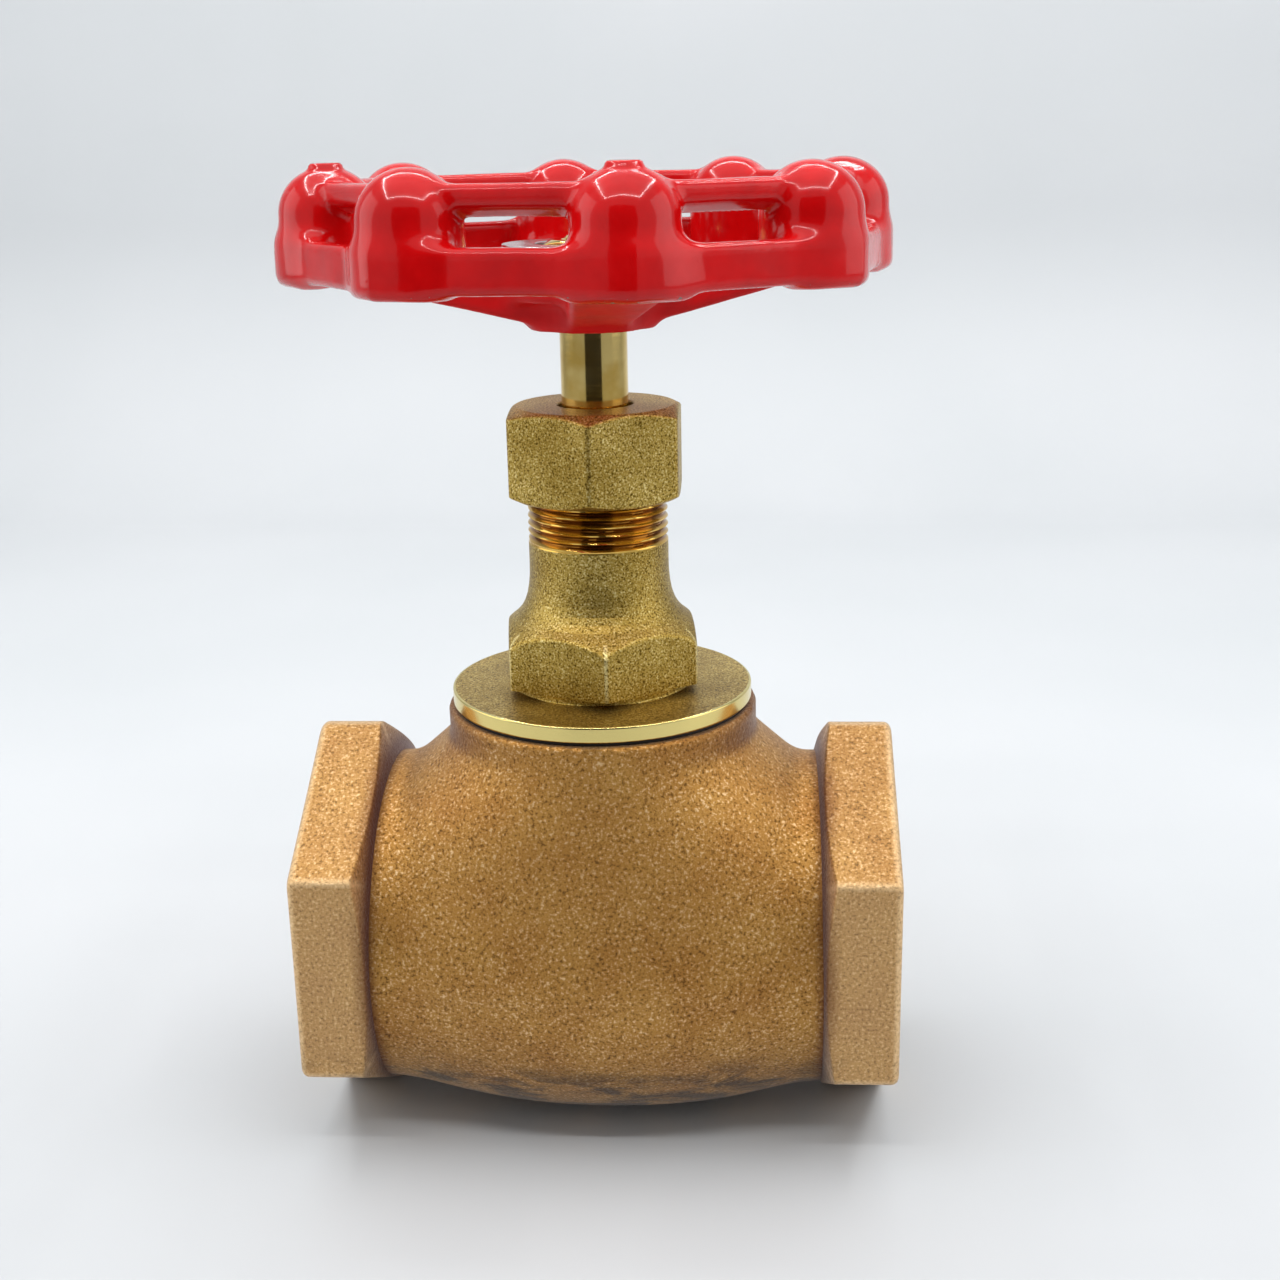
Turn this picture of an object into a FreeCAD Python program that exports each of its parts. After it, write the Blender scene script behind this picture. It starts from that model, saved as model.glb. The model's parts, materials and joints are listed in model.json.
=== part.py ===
import FreeCAD, Part
import math
import os
import Sketcher

# Threaded globe valve, 1 1/2 inch. Millimetres, +Z up. The origin is on the stem's axis, at the level
# of the two corner lands that the body stands on. X runs along the pipe.

PACKING_RINGS = 4
LOBES = 8
ARMS = 4

SIZES = {
    # body casting: heights are above the belly's centre
    "face_to_face": 93.0,
    "end_flats": 57.0,          # across the flats of each hexagon end, which has corners up and down
    "end_width": 11.3,          # length of each hexagon end
    "end_land": 2.0,            # width of the land on the top and bottom corners
    "end_chamfer": 2.0,         # taken off the corners of the outer faces, at 45 degrees
    "port_radius": 22.4,        # wall of the parallel 1 1/2 inch pipe thread
    "port_depth": 17.0,
    "port_lead_in": 1.6,
    "belly_drop": 2.0,          # the belly's centre is this far below the pipe's axis
    "belly_radius": 31.0,       # barrel, at the stem's axis
    "waist_radius": 27.3,       # barrel, where it meets the hexagon ends
    "wall": 3.6,
    "collar_radius": 24.2,
    "collar_top": 38.7,
    "collar_bore": 21.1,
    "collar_ring": 4.2,         # height of the collar's straight top, above the pear-shaped globe
    "globe_bend": 90.0,         # radius of the globe's side between belly and collar
    "web_slant": 5.0,           # lean of the two partition webs over their height
    "seat_radius": 16.0,        # hole through the seat
    "seat_land": 2.6,           # width of the seat's flat ring
    "seat_rise": 1.5,
    "side_room": 1.5,           # between the disc and the partition's webs
    "cut_over": 1.0,            # how far a cutting shape runs past what it cuts
    # bonnet forging
    "gasket_thick": 0.6,
    "gasket_inset": 0.6,
    "flange_radius": 24.0,
    "flange_thick": 2.5,
    "spigot_length": 10.0,      # thread that screws into the collar
    "spigot_bore": 17.0,
    "thread_gap": 0.1,          # radial gap between screwed pieces that stay still
    "hex_flats": 29.4,
    "hex_base": 1.4,            # round step under the hexagon
    "step_inset": 0.3,
    "hex_height": 9.0,
    "shoulder_radius": 14.2,    # where the flared neck leaves the hexagon's top
    "hex_turn": 7.0,            # where the screwed bonnet stops, from the camera side
    "neck_radius": 11.0,
    "flare_height": 6.5,
    "flare_bend": 7.2,
    "neck_top": 79.5,
    "gland_thread_length": 14.4,
    "gland_thread_depth": 0.9,
    "gland_pitch": 1.5,
    "gland_groove": 0.66,       # half the mouth of a thread groove
    "stem_thread_length": 15.5,
    "bore_start": 1.5,          # room over the disc's lock nut before the threaded bore
    "bore_relief": 0.6,         # radial, over the threaded bore
    "web_gap": 0.36,            # radial, between stem and the web under the packing
    "top_room": 1.5,            # over the stem's thread when the disc is fully lifted
    # stem
    "stem_radius": 5.18,
    "stem_thread_radius": 6.6,
    "thread_start": 0.5,        # stem's thread begins this far over the lock nut
    "thread_spare": 1.0,        # stem's thread beyond its bore when the valve is shut
    "running_gap": 0.06,        # radial, stem in its own thread, packing and follower
    "head_radius": 8.4,
    "head_thick": 3.0,
    "head_gap": 0.3,
    "head_seat": 1.5,           # the pad in the holder that the head presses on
    "shoulder_gap": 0.3,        # stem's shoulder below the hub's recess
    "square_side": 8.0,
    "wheel_thread_radius": 4.0,
    "opening": 10.0,            # how far the seat disc stands above its seat
    # disc
    "insert_radius": 18.3,
    "insert_thick": 4.0,
    "insert_proud": 1.0,
    "holder_radius": 19.5,
    "holder_floor": 3.0,
    "holder_neck_radius": 12.0,
    "holder_neck_height": 11.0,
    "stud_radius": 4.0,
    "disc_washer_radius": 8.0,
    "disc_washer_thick": 1.2,
    "disc_nut_flats": 13.0,
    "disc_nut_height": 4.5,
    "stud_proud": 0.6,
    "lock_thread_radius": 9.0,
    "lock_flats": 22.0,
    "lock_head_height": 3.8,
    "lock_fit": 0.05,           # radial, lock nut in the holder's neck
    "lock_clear": 0.3,          # radial, stem's thread through the lock nut
    # packing
    "packing_radius": 8.2,
    "packing_web": 2.0,
    "packing_washer_thick": 1.0,
    "packing_ring_height": 2.8,
    "packing_fit": 0.05,        # radial, rings in their chamber
    "follower_flange_radius": 9.8,
    "follower_flange_thick": 2.4,
    "follower_tube": 6.4,
    # gland nut
    "nut_flats": 26.0,
    "nut_height": 14.3,
    "nut_web": 3.0,
    "nut_hole": 5.85,
    "nut_chamfer": 0.3,
    # handwheel: heights are above the hub's underside
    "hub_base": 98.0,           # hub's underside above the belly's centre
    "hub_radius": 9.4,
    "hub_top_radius": 14.0,
    "hub_height": 12.2,
    "hub_recess_radius": 9.2,
    "hub_recess_depth": 4.8,
    "wheel_turn_at_rest": 11.6,
    "tip_radius": 46.6,
    "lobe_radius": 7.4,
    "lobe_wall": 2.6,
    "band_base": 8.3,
    "band_height": 6.1,
    "band_radius": 46.0,        # to the octagon's corners
    "band_wall": 3.2,
    "bar_base": 19.4,
    "bar_height": 2.9,
    "bar_radius": 41.6,
    "bar_wall": 3.4,
    "lobe_top": 25.0,
    "arm_width": 12.0,
    "arm_thick": 4.2,
    "arm_root": 4.0,            # how deep an arm starts inside the hub
    "arm_root_thick": 6.7,
    "arm_rise": 0.8,            # arm's underside above the hub's
    # plate and wheel nut
    "plate_radius": 13.5,
    "plate_thick": 0.5,
    "wheel_nut_flats": 13.0,
    "wheel_nut_height": 5.3,
    "wheel_nut_chamfer": 0.2,
    "stem_end_proud": 0.6,
}

# Places worked out from the sizes; heights here are above the origin.
PLACES = {
    "axis_height": "Sizes.end_flats / sqrt(3) - Sizes.end_land / 2 / sqrt(3)",
    "core_height": "axis_height - Sizes.belly_drop",
    "half_length": "Sizes.face_to_face / 2",
    "hex_inner": "half_length - Sizes.end_width",
    "belly_bend": "(hex_inner^2 + (Sizes.belly_radius - Sizes.waist_radius)^2)"
                  " / 2 / (Sizes.belly_radius - Sizes.waist_radius)",
    "cavity_end": "half_length - Sizes.port_depth",
    "cavity_bend": "(cavity_end^2 + (Sizes.belly_radius - Sizes.waist_radius)^2)"
                   " / 2 / (Sizes.belly_radius - Sizes.waist_radius)",
    "cavity_waist": "Sizes.waist_radius - Sizes.wall",
    "bridge_reach": "Sizes.holder_radius + Sizes.side_room",
    "seat_top": "core_height + Sizes.seat_rise",
    "collar_face": "core_height + Sizes.collar_top",
    "flange_base": "collar_face + Sizes.gasket_thick",
    "flange_top": "flange_base + Sizes.flange_thick",
    "hex_bottom": "flange_top + Sizes.hex_base",
    "hex_top": "hex_bottom + Sizes.hex_height",
    "insert_base": "seat_top + Sizes.opening",
    "insert_top": "insert_base + Sizes.insert_thick",
    "holder_top": "insert_top + Sizes.holder_floor",
    "head_base": "holder_top + Sizes.head_gap + Sizes.head_seat",
    "head_top": "head_base + Sizes.head_thick",
    "neck_end": "holder_top + Sizes.holder_neck_height",
    "lock_top": "neck_end + Sizes.lock_head_height",
    "stem_thread_base": "lock_top + Sizes.thread_start",
    "bore_base": "lock_top + Sizes.bore_start",
    "bore_top": "bore_base + Sizes.stem_thread_length",
    "stem_thread_top": "bore_top + Sizes.opening + Sizes.thread_spare",
    "web_base": "stem_thread_top + Sizes.top_room",
    "chamber_base": "web_base + Sizes.packing_web",
    "packing_base": "chamber_base + Sizes.packing_washer_thick",
    "packing_top": "packing_base + %d * Sizes.packing_ring_height" % PACKING_RINGS,
    "bonnet_top": "core_height + Sizes.neck_top",
    "follower_shoulder": "packing_top + Sizes.follower_tube - Sizes.follower_flange_thick",
    "nut_top": "packing_top + Sizes.follower_tube + Sizes.nut_web",
    "nut_base": "nut_top - Sizes.nut_height",
    "hub_bottom": "core_height + Sizes.hub_base",
    "recess_floor": "hub_bottom + Sizes.hub_height - Sizes.hub_recess_depth",
    "stem_end": "recess_floor + Sizes.plate_thick + Sizes.wheel_nut_height + Sizes.stem_end_proud",
}

doc = FreeCAD.newDocument("GlobeValve")
pieces = []


def fill_sheet(name, cells):
    """A sheet with one named cell in a row: the name in column A, its value or formula in column B."""
    sheet = doc.addObject("Spreadsheet::Sheet", name)
    for row, (alias, value) in enumerate(cells.items(), start=1):
        sheet.set("A%d" % row, alias)
        sheet.set("B%d" % row, "=" + value if isinstance(value, str) else str(value))
        sheet.setAlias("B%d" % row, alias)
    return sheet


fill_sheet("Sizes", SIZES)
fill_sheet("Places", PLACES)
doc.recompute()


def value_of(expression):
    """The number that an expression of the two sheets gives now."""
    probe = doc.getObject("Sizes")
    return float(probe.evalExpression(expression))


def outline(owner, name, plane, points, bends=None):
    """A closed sketch through points given as pairs of expressions, counterclockwise. bends maps the index
    of a side to its radius and True where that arc is hollow, so that it curves into the outline."""
    if owner is None:
        sketch = doc.addObject("Sketcher::SketchObject", name)
        turns = {"XZ_Plane": FreeCAD.Rotation(FreeCAD.Vector(1, 0, 0), 90),
                 "YZ_Plane": FreeCAD.Rotation(FreeCAD.Vector(1, 1, 1), 120),
                 "XY_Plane": FreeCAD.Rotation()}
        sketch.Placement = FreeCAD.Placement(FreeCAD.Vector(), turns[plane])
    else:
        sketch = owner.newObject("Sketcher::SketchObject", name)
        support = [f for f in owner.Origin.OriginFeatures if f.Role == plane][0]
        sketch.AttachmentSupport = (support, [""])
        sketch.MapMode = "FlatFace"
    bends = bends or {}
    spots = [FreeCAD.Vector(value_of(x), value_of(y), 0) for x, y in points]
    count = len(spots)
    ends = []
    for side in range(count):
        first, last = spots[side], spots[(side + 1) % count]
        if side not in bends:
            sketch.addGeometry(Part.LineSegment(first, last), False)
            ends.append((1, 2))
            continue
        radius = value_of(bends[side][0])
        hollow = bends[side][1]
        chord = last - first
        across = FreeCAD.Vector(chord.y, -chord.x, 0).normalize() * (-1 if hollow else 1)
        rise = radius - math.sqrt(radius ** 2 - chord.Length ** 2 / 4)
        middle = (first + last) * 0.5 + across * rise
        sketch.addGeometry(Part.Arc(first, middle, last), False)
        ends.append((2, 1) if hollow else (1, 2))
    for side in range(count):
        after = (side + 1) % count
        sketch.addConstraint(Sketcher.Constraint("Coincident", side, ends[side][1], after, ends[after][0]))
    for side, (radius, hollow) in bends.items():
        index = sketch.addConstraint(Sketcher.Constraint("Radius", side, value_of(radius)))
        sketch.setExpression("Constraints[%d]" % index, radius)
    for side, (x, y) in enumerate(points):
        for kind, formula, spot in (("DistanceX", x, spots[side].x), ("DistanceY", y, spots[side].y)):
            if formula == "0":
                axis = -2 if kind == "DistanceX" else -1
                sketch.addConstraint(Sketcher.Constraint("PointOnObject", side, ends[side][0], axis))
                continue
            index = sketch.addConstraint(Sketcher.Constraint(kind, -1, 1, side, ends[side][0], spot))
            sketch.setExpression("Constraints[%d]" % index, formula)
    return sketch


def hexagon(flats):
    """Corner points of a hexagon with flats of this expression facing up and down the sketch."""
    half = "(%s) / 2" % flats
    side = "(%s) / 2 / sqrt(3)" % flats
    reach = "(%s) / sqrt(3)" % flats
    return [(reach, "0"), (side, half), ("-(%s)" % side, half),
            ("-(%s)" % reach, "0"), ("-(%s)" % side, "-(%s)" % half), (side, "-(%s)" % half)]


def new_body(name, height=None):
    """A body that is a piece of the valve, with its own base at this height."""
    body = doc.addObject("PartDesign::Body", name + "_body")
    body.Label = name
    if height:
        body.setExpression("Placement.Base.z", height)
    pieces.append(body)
    return body


def turn(body, points, cut=False, bends=None, tag="profile"):
    """Turns an outline of radius and height round the body's Z axis, to add or to cut."""
    sketch = outline(body, "%s_%s" % (body.Label, tag), "XZ_Plane", points, bends)
    kind = "PartDesign::Groove" if cut else "PartDesign::Revolution"
    feature = body.newObject(kind, "%s_%s_turned" % (body.Label, tag))
    feature.Profile = sketch
    feature.ReferenceAxis = (sketch, ["V_Axis"])
    feature.Angle = 360
    return feature


def pad(body, tag, sketch, length, start=None, cut=False):
    """Raises an outline of the XY plane from start by length, to add or to cut."""
    if start:
        sketch.setExpression("AttachmentOffset.Base.z", start)
    feature = body.newObject("PartDesign::Pocket" if cut else "PartDesign::Pad", body.Label + "_" + tag)
    feature.Profile = sketch
    feature.setExpression("Length", length)
    feature.Reversed = cut
    return feature


def ring_points(inner, outer, low, high):
    """The four corners of a ring's section."""
    return [(inner, low), (outer, low), (outer, high), (inner, high)]


def ring(name, inner, outer, thickness, height):
    """A plain ring or washer."""
    body = new_body(name, height)
    turn(body, ring_points(inner, outer, "0", thickness))
    return body


def corner_cone(body, flats, high, chamfer, tag, low_side=False):
    """Cuts a 30 degree cone off the corners of a hexagon's end."""
    reach = "(%s) / sqrt(3) + Sizes.cut_over" % flats
    inner = "(%s) / 2 - (%s)" % (flats, chamfer)
    drop = "((%s) - (%s)) / sqrt(3)" % (reach, inner)
    sign = "+" if low_side else "-"
    points = [(inner, high), (reach, high), (reach, "(%s) %s (%s)" % (high, sign, drop))]
    turn(body, points, cut=True, tag=tag)


def part_object(kind, name, **values):
    """A Part primitive or boolean with its properties, each expression bound to the sheets."""
    item = doc.addObject(kind, name)
    for key, value in values.items():
        if isinstance(value, str) and key not in ("DirMode", "FaceMakerClass"):
            item.setExpression(key, value)
        else:
            setattr(item, key, value)
    return item


def extrusion(name, sketch, along, forward, backward=None):
    """A sketch pushed along a direction, by one expression forward and another backward."""
    item = part_object("Part::Extrusion", name, Base=sketch, DirMode="Custom", Dir=FreeCAD.Vector(*along),
                       Solid=True, FaceMakerClass="Part::FaceMakerBullseye", LengthFwd=forward)
    if backward:
        item.setExpression("LengthRev", backward)
    return item


def cylinder(name, radius, height, base, along="Z"):
    """A cylinder whose axis is the stem's, or the pipe's when along is X."""
    item = part_object("Part::Cylinder", name, Radius=radius, Height=height)
    if along == "X":
        item.Placement.Rotation = FreeCAD.Rotation(FreeCAD.Vector(0, 1, 0), 90)
        item.setExpression("Placement.Base.x", base)
        item.setExpression("Placement.Base.z", "Places.axis_height")
    else:
        item.setExpression("Placement.Base.z", base)
    return item


def make_body():
    """The casting: barrel, hexagon ends and collar, less the chambers on each side of the partition."""
    axis = "Places.axis_height"
    core = "Places.core_height"

    def spun(name, points, bends=None, level=axis, along=(1, 0, 0)):
        sketch = outline(None, name + "_outline", "XZ_Plane", points, bends)
        item = part_object("Part::Revolution", name, Source=sketch, Angle=360.0, Solid=True)
        item.Axis = FreeCAD.Vector(*along)
        item.setExpression("Placement.Base.z", level)
        return item

    barrel = spun("barrel", [("-Places.hex_inner", "0"), ("Places.hex_inner", "0"),
                             ("Places.hex_inner", "Sizes.waist_radius"),
                             ("-Places.hex_inner", "Sizes.waist_radius")],
                  {2: ("Places.belly_bend", False)}, level=core)
    globe_top = "Sizes.collar_top - Sizes.collar_ring"
    globe = spun("globe", [("0", "0"), ("Sizes.belly_radius", "0"), ("Sizes.collar_radius", globe_top),
                           ("0", globe_top)], {1: ("Sizes.globe_bend", False)}, level=core, along=(0, 0, 1))
    barrel_parts = [barrel, globe]
    reach = "Sizes.end_flats / sqrt(3)"
    land = "Sizes.end_land / 2"
    side_y = "Sizes.end_flats / 2"
    side_z = "Sizes.end_flats / 2 / sqrt(3)"
    corners = [(land, axis), (side_y, side_z), (side_y, "-(%s)" % side_z), (land, "-(%s)" % axis),
               ("-(%s)" % land, "-(%s)" % axis), ("-(%s)" % side_y, "-(%s)" % side_z),
               ("-(%s)" % side_y, side_z), ("-(%s)" % land, axis)]
    section = outline(None, "end_outline", "YZ_Plane", corners)
    cone_face = "%s - Sizes.end_chamfer" % reach
    cone_drop = "Sizes.end_chamfer + Sizes.cut_over"
    over = "%s + Sizes.cut_over" % reach
    for name, face, back, inward in (
            ("end_left", "-Places.half_length", "-Places.hex_inner", "+"),
            ("end_right", "Places.half_length", "Places.hex_inner", "-")):
        block = extrusion(name, section, (1, 0, 0), "Sizes.end_width")
        block.setExpression("Placement.Base.x", face if name == "end_left" else back)
        block.setExpression("Placement.Base.z", axis)
        points = [(face, "0"), (face, cone_face), ("(%s) %s (%s)" % (face, inward, cone_drop), over),
                  (back, over), (back, "0")]
        turned = spun(name + "_chamfer", points)
        barrel_parts.append(part_object("Part::Common", name + "_hexagon", Base=block, Tool=turned))
    collar = cylinder("collar", "Sizes.collar_radius", "Sizes.collar_top", core)
    rough = part_object("Part::MultiFuse", "casting_blank", Shapes=barrel_parts + [collar])
    above = part_object("Part::Box", "above_foot", Length="Sizes.face_to_face", Width="2 * Sizes.end_flats",
                        Height="2 * Sizes.end_flats")
    above.setExpression("Placement.Base.x", "-Places.half_length")
    above.setExpression("Placement.Base.y", "-Sizes.end_flats")
    blank = part_object("Part::Common", "casting_on_foot", Base=rough, Tool=above)

    cavity = spun("cavity", [
        ("-Places.cavity_end", "0"), ("Places.cavity_end", "0"), ("Places.cavity_end", "Places.cavity_waist"),
        ("-Places.cavity_end", "Places.cavity_waist")],
        {2: ("Places.cavity_bend", False)}, level=core)
    ports = [cylinder("port_" + side, "Sizes.port_radius", "Sizes.port_depth", base, along="X")
             for side, base in (("left", "-Places.half_length"), ("right", "Places.cavity_end"))]
    lead_ins = []
    for side, face, inward in (("left", "-Places.half_length", "+"), ("right", "Places.half_length", "-")):
        lead_ins.append(spun("lead_in_" + side, [
            (face, "0"), ("(%s) %s Sizes.port_lead_in" % (face, inward), "0"),
            ("(%s) %s Sizes.port_lead_in" % (face, inward), "Sizes.port_radius"),
            (face, "Sizes.port_radius + Sizes.port_lead_in")]))
    collar_hole = cylinder("collar_hole", "Sizes.collar_bore", "Sizes.collar_top - Sizes.belly_radius / 3",
                           core + " + Sizes.belly_radius / 3")
    hollow = part_object("Part::MultiFuse", "hollow", Shapes=[cavity, collar_hole] + ports + lead_ins)

    reach_x = "Places.bridge_reach"
    slant = "Sizes.web_slant"
    rise = "Sizes.belly_radius"
    under = "-Sizes.wall"
    webs = outline(None, "partition_outline", "XZ_Plane", [
        ("-(%s)" % reach_x, "0"), ("-(%s) - %s" % (reach_x, slant), rise),
        ("-(%s) - %s - Sizes.wall" % (reach_x, slant), rise), ("-(%s) - Sizes.wall" % reach_x, under),
        (reach_x, under), ("%s + %s" % (reach_x, slant), "-(%s) - Sizes.wall" % rise),
        ("%s + %s + Sizes.wall" % (reach_x, slant), "-(%s) - Sizes.wall" % rise),
        ("%s + Sizes.wall" % reach_x, "0")])
    sheet_wall = extrusion("partition_sheet", webs, (0, 1, 0), "Sizes.belly_radius", "Sizes.belly_radius")
    sheet_wall.setExpression("Placement.Base.z", core)
    seat_ring = cylinder("seat_ring", "Sizes.seat_radius + Sizes.seat_land", "Sizes.seat_rise + Sizes.wall",
                         core + " - Sizes.wall")
    seated = part_object("Part::MultiFuse", "seated_partition", Shapes=[sheet_wall, seat_ring])
    seat_hole = cylinder("seat_hole", "Sizes.seat_radius",
                         "Sizes.seat_rise + Sizes.wall + 2 * Sizes.cut_over",
                         core + " - Sizes.wall - Sizes.cut_over")
    partition = part_object("Part::Cut", "partition", Base=seated, Tool=seat_hole)
    chambers = part_object("Part::Cut", "chambers", Base=hollow, Tool=partition)
    casting = part_object("Part::Cut", "casting", Base=blank, Tool=chambers)
    casting.Label = "body"
    pieces.append(casting)


def make_bonnet():
    """The forging: spigot, flange, hexagon and flared neck, bored for the stem thread and the packing."""
    body = new_body("bonnet", "Places.flange_base")
    base = "Places.flange_base"
    spigot = "Sizes.collar_bore - Sizes.thread_gap"
    step = "Sizes.hex_flats / 2 - Sizes.step_inset"
    hex_low = "Places.hex_bottom - %s" % base
    hex_high = "Places.hex_top - %s" % base
    flare_top = "(%s) + Sizes.flare_height" % hex_high
    top = "Places.bonnet_top - %s" % base
    thread_base = "(%s) - Sizes.gland_thread_length" % top
    turn(body, [("0", "-Sizes.spigot_length"), (spigot, "-Sizes.spigot_length"), (spigot, "0"),
                ("Sizes.flange_radius", "0"), ("Sizes.flange_radius", "Sizes.flange_thick"),
                (step, "Sizes.flange_thick"), (step, hex_low), ("Sizes.shoulder_radius", hex_low),
                ("Sizes.shoulder_radius", hex_high), ("Sizes.neck_radius", flare_top),
                ("Sizes.neck_radius", top), ("0", top)],
         bends={8: ("Sizes.flare_bend", True)})
    hexagon_sketch = outline(body, "bonnet_hexagon", "XY_Plane", hexagon("Sizes.hex_flats"))
    hexagon_sketch.setExpression("AttachmentOffset.Rotation.Angle", "30 + Sizes.hex_turn")
    pad(body, "hexagon_pad", hexagon_sketch, "Sizes.hex_height", hex_low)
    over = "Sizes.hex_flats / sqrt(3) + Sizes.cut_over"
    cone_low = "(%s) - (%s - Sizes.shoulder_radius) / sqrt(3)" % (hex_high, over)
    turn(body, [("Sizes.shoulder_radius", hex_high), (over, cone_low), (over, hex_high)], cut=True,
         tag="shoulder")
    grooves = int(round(value_of("Sizes.gland_thread_length / Sizes.gland_pitch"))) - 1
    root = "Sizes.neck_radius - Sizes.gland_thread_depth"
    mouth = "Sizes.neck_radius + Sizes.thread_gap"
    for turn_number in range(grooves):
        middle = "(%s) + Sizes.gland_pitch * %s" % (thread_base, turn_number + 0.5)
        turn(body, [(root, middle), (mouth, "%s - Sizes.gland_groove" % middle),
                    (mouth, "%s + Sizes.gland_groove" % middle)], cut=True, tag="thread_%d" % turn_number)
    bore = "Sizes.stem_thread_radius + Sizes.running_gap"
    passage = "Sizes.stem_radius + Sizes.web_gap"
    relief = "Sizes.stem_thread_radius + Sizes.bore_relief"
    turn(body, [("0", "-Sizes.spigot_length"), ("Sizes.spigot_bore", "-Sizes.spigot_length"),
                ("Sizes.spigot_bore", "Places.bore_base - %s" % base), (bore, "Places.bore_base - %s" % base),
                (bore, "Places.bore_top - %s" % base),
                (relief, "Places.bore_top - %s" % base), (relief, "Places.web_base - %s" % base),
                (passage, "Places.web_base - %s" % base), (passage, "Places.chamber_base - %s" % base),
                ("Sizes.packing_radius", "Places.chamber_base - %s" % base), ("Sizes.packing_radius", top),
                ("0", top)], cut=True, tag="bore")


def make_packing():
    """Washer, four rings, the follower that presses them and the nut over it."""
    shaft = "Sizes.stem_radius + Sizes.running_gap"
    chamber = "Sizes.packing_radius - Sizes.packing_fit"
    ring("packing_washer", shaft, chamber, "Sizes.packing_washer_thick", "Places.chamber_base")
    for count in range(PACKING_RINGS):
        ring("packing_ring_%d" % (count + 1), shaft, chamber, "Sizes.packing_ring_height",
             "Places.packing_base + %d * Sizes.packing_ring_height" % count)
    follower = new_body("gland_follower", "Places.packing_top")
    turn(follower, [(shaft, "0"), (chamber, "0"),
                    (chamber, "Sizes.follower_tube - Sizes.follower_flange_thick"),
                    ("Sizes.follower_flange_radius", "Sizes.follower_tube - Sizes.follower_flange_thick"),
                    ("Sizes.follower_flange_radius", "Sizes.follower_tube"), (shaft, "Sizes.follower_tube")])
    nut = new_body("gland_nut", "Places.nut_base")
    pad(nut, "hexagon_pad", outline(nut, "nut_hexagon", "XY_Plane", hexagon("Sizes.nut_flats")),
        "Sizes.nut_height")
    nut.Placement.Rotation = FreeCAD.Rotation(FreeCAD.Vector(0, 0, 1), 30)
    corner_cone(nut, "Sizes.nut_flats", "Sizes.nut_height", "Sizes.nut_chamfer", "top_chamfer")
    corner_cone(nut, "Sizes.nut_flats", "0", "Sizes.nut_chamfer", "low_chamfer", low_side=True)
    thread = "Sizes.neck_radius + Sizes.thread_gap"
    inside = "Sizes.nut_height - Sizes.nut_web"
    turn(nut, [("0", "0"), (thread, "0"), (thread, inside), ("Sizes.nut_hole", inside),
               ("Sizes.nut_hole", "Sizes.nut_height"), ("0", "Sizes.nut_height")], cut=True, tag="bore")


def make_stem():
    """The spindle: head, neck, thread, polished shaft, square and wheel-nut thread."""
    body = new_body("stem", "Places.head_base")
    base = "Places.head_base"
    steps = [("Sizes.head_radius", "Places.head_top"), ("Sizes.stem_radius", "Places.stem_thread_base"),
             ("Sizes.stem_thread_radius", "Places.stem_thread_top"),
             ("Sizes.stem_radius", "Places.recess_floor - Sizes.shoulder_gap"),
             ("Sizes.wheel_thread_radius", "Places.stem_end")]
    points = [("0", "0")]
    level = "0"
    for radius, height in steps:
        points.append((radius, level))
        level = "%s - %s" % (height, base)
        points.append((radius, level))
    points.append(("0", level))
    turn(body, points)
    square = "Sizes.square_side / 2"
    outer = "Sizes.stem_radius + 2 * Sizes.cut_over"
    deep = "Places.recess_floor - Places.hub_bottom + Sizes.cut_over"
    for number, (low, high) in enumerate(((square, outer), ("-(%s)" % outer, "-(%s)" % square))):
        for kind in ("x", "y"):
            wide = ("-(%s)" % outer, outer)
            across, along = ((low, high), wide) if kind == "x" else (wide, (low, high))
            flat = outline(body, "stem_flat_%s%d" % (kind, number), "XY_Plane",
                           [(across[0], along[0]), (across[1], along[0]),
                            (across[1], along[1]), (across[0], along[1])])
            pad(body, "flat_%s%d" % (kind, number), flat, deep, "Places.hub_bottom - %s" % base, cut=True)
    body.setExpression("Placement.Rotation.Angle", "Sizes.wheel_turn_at_rest")


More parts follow.
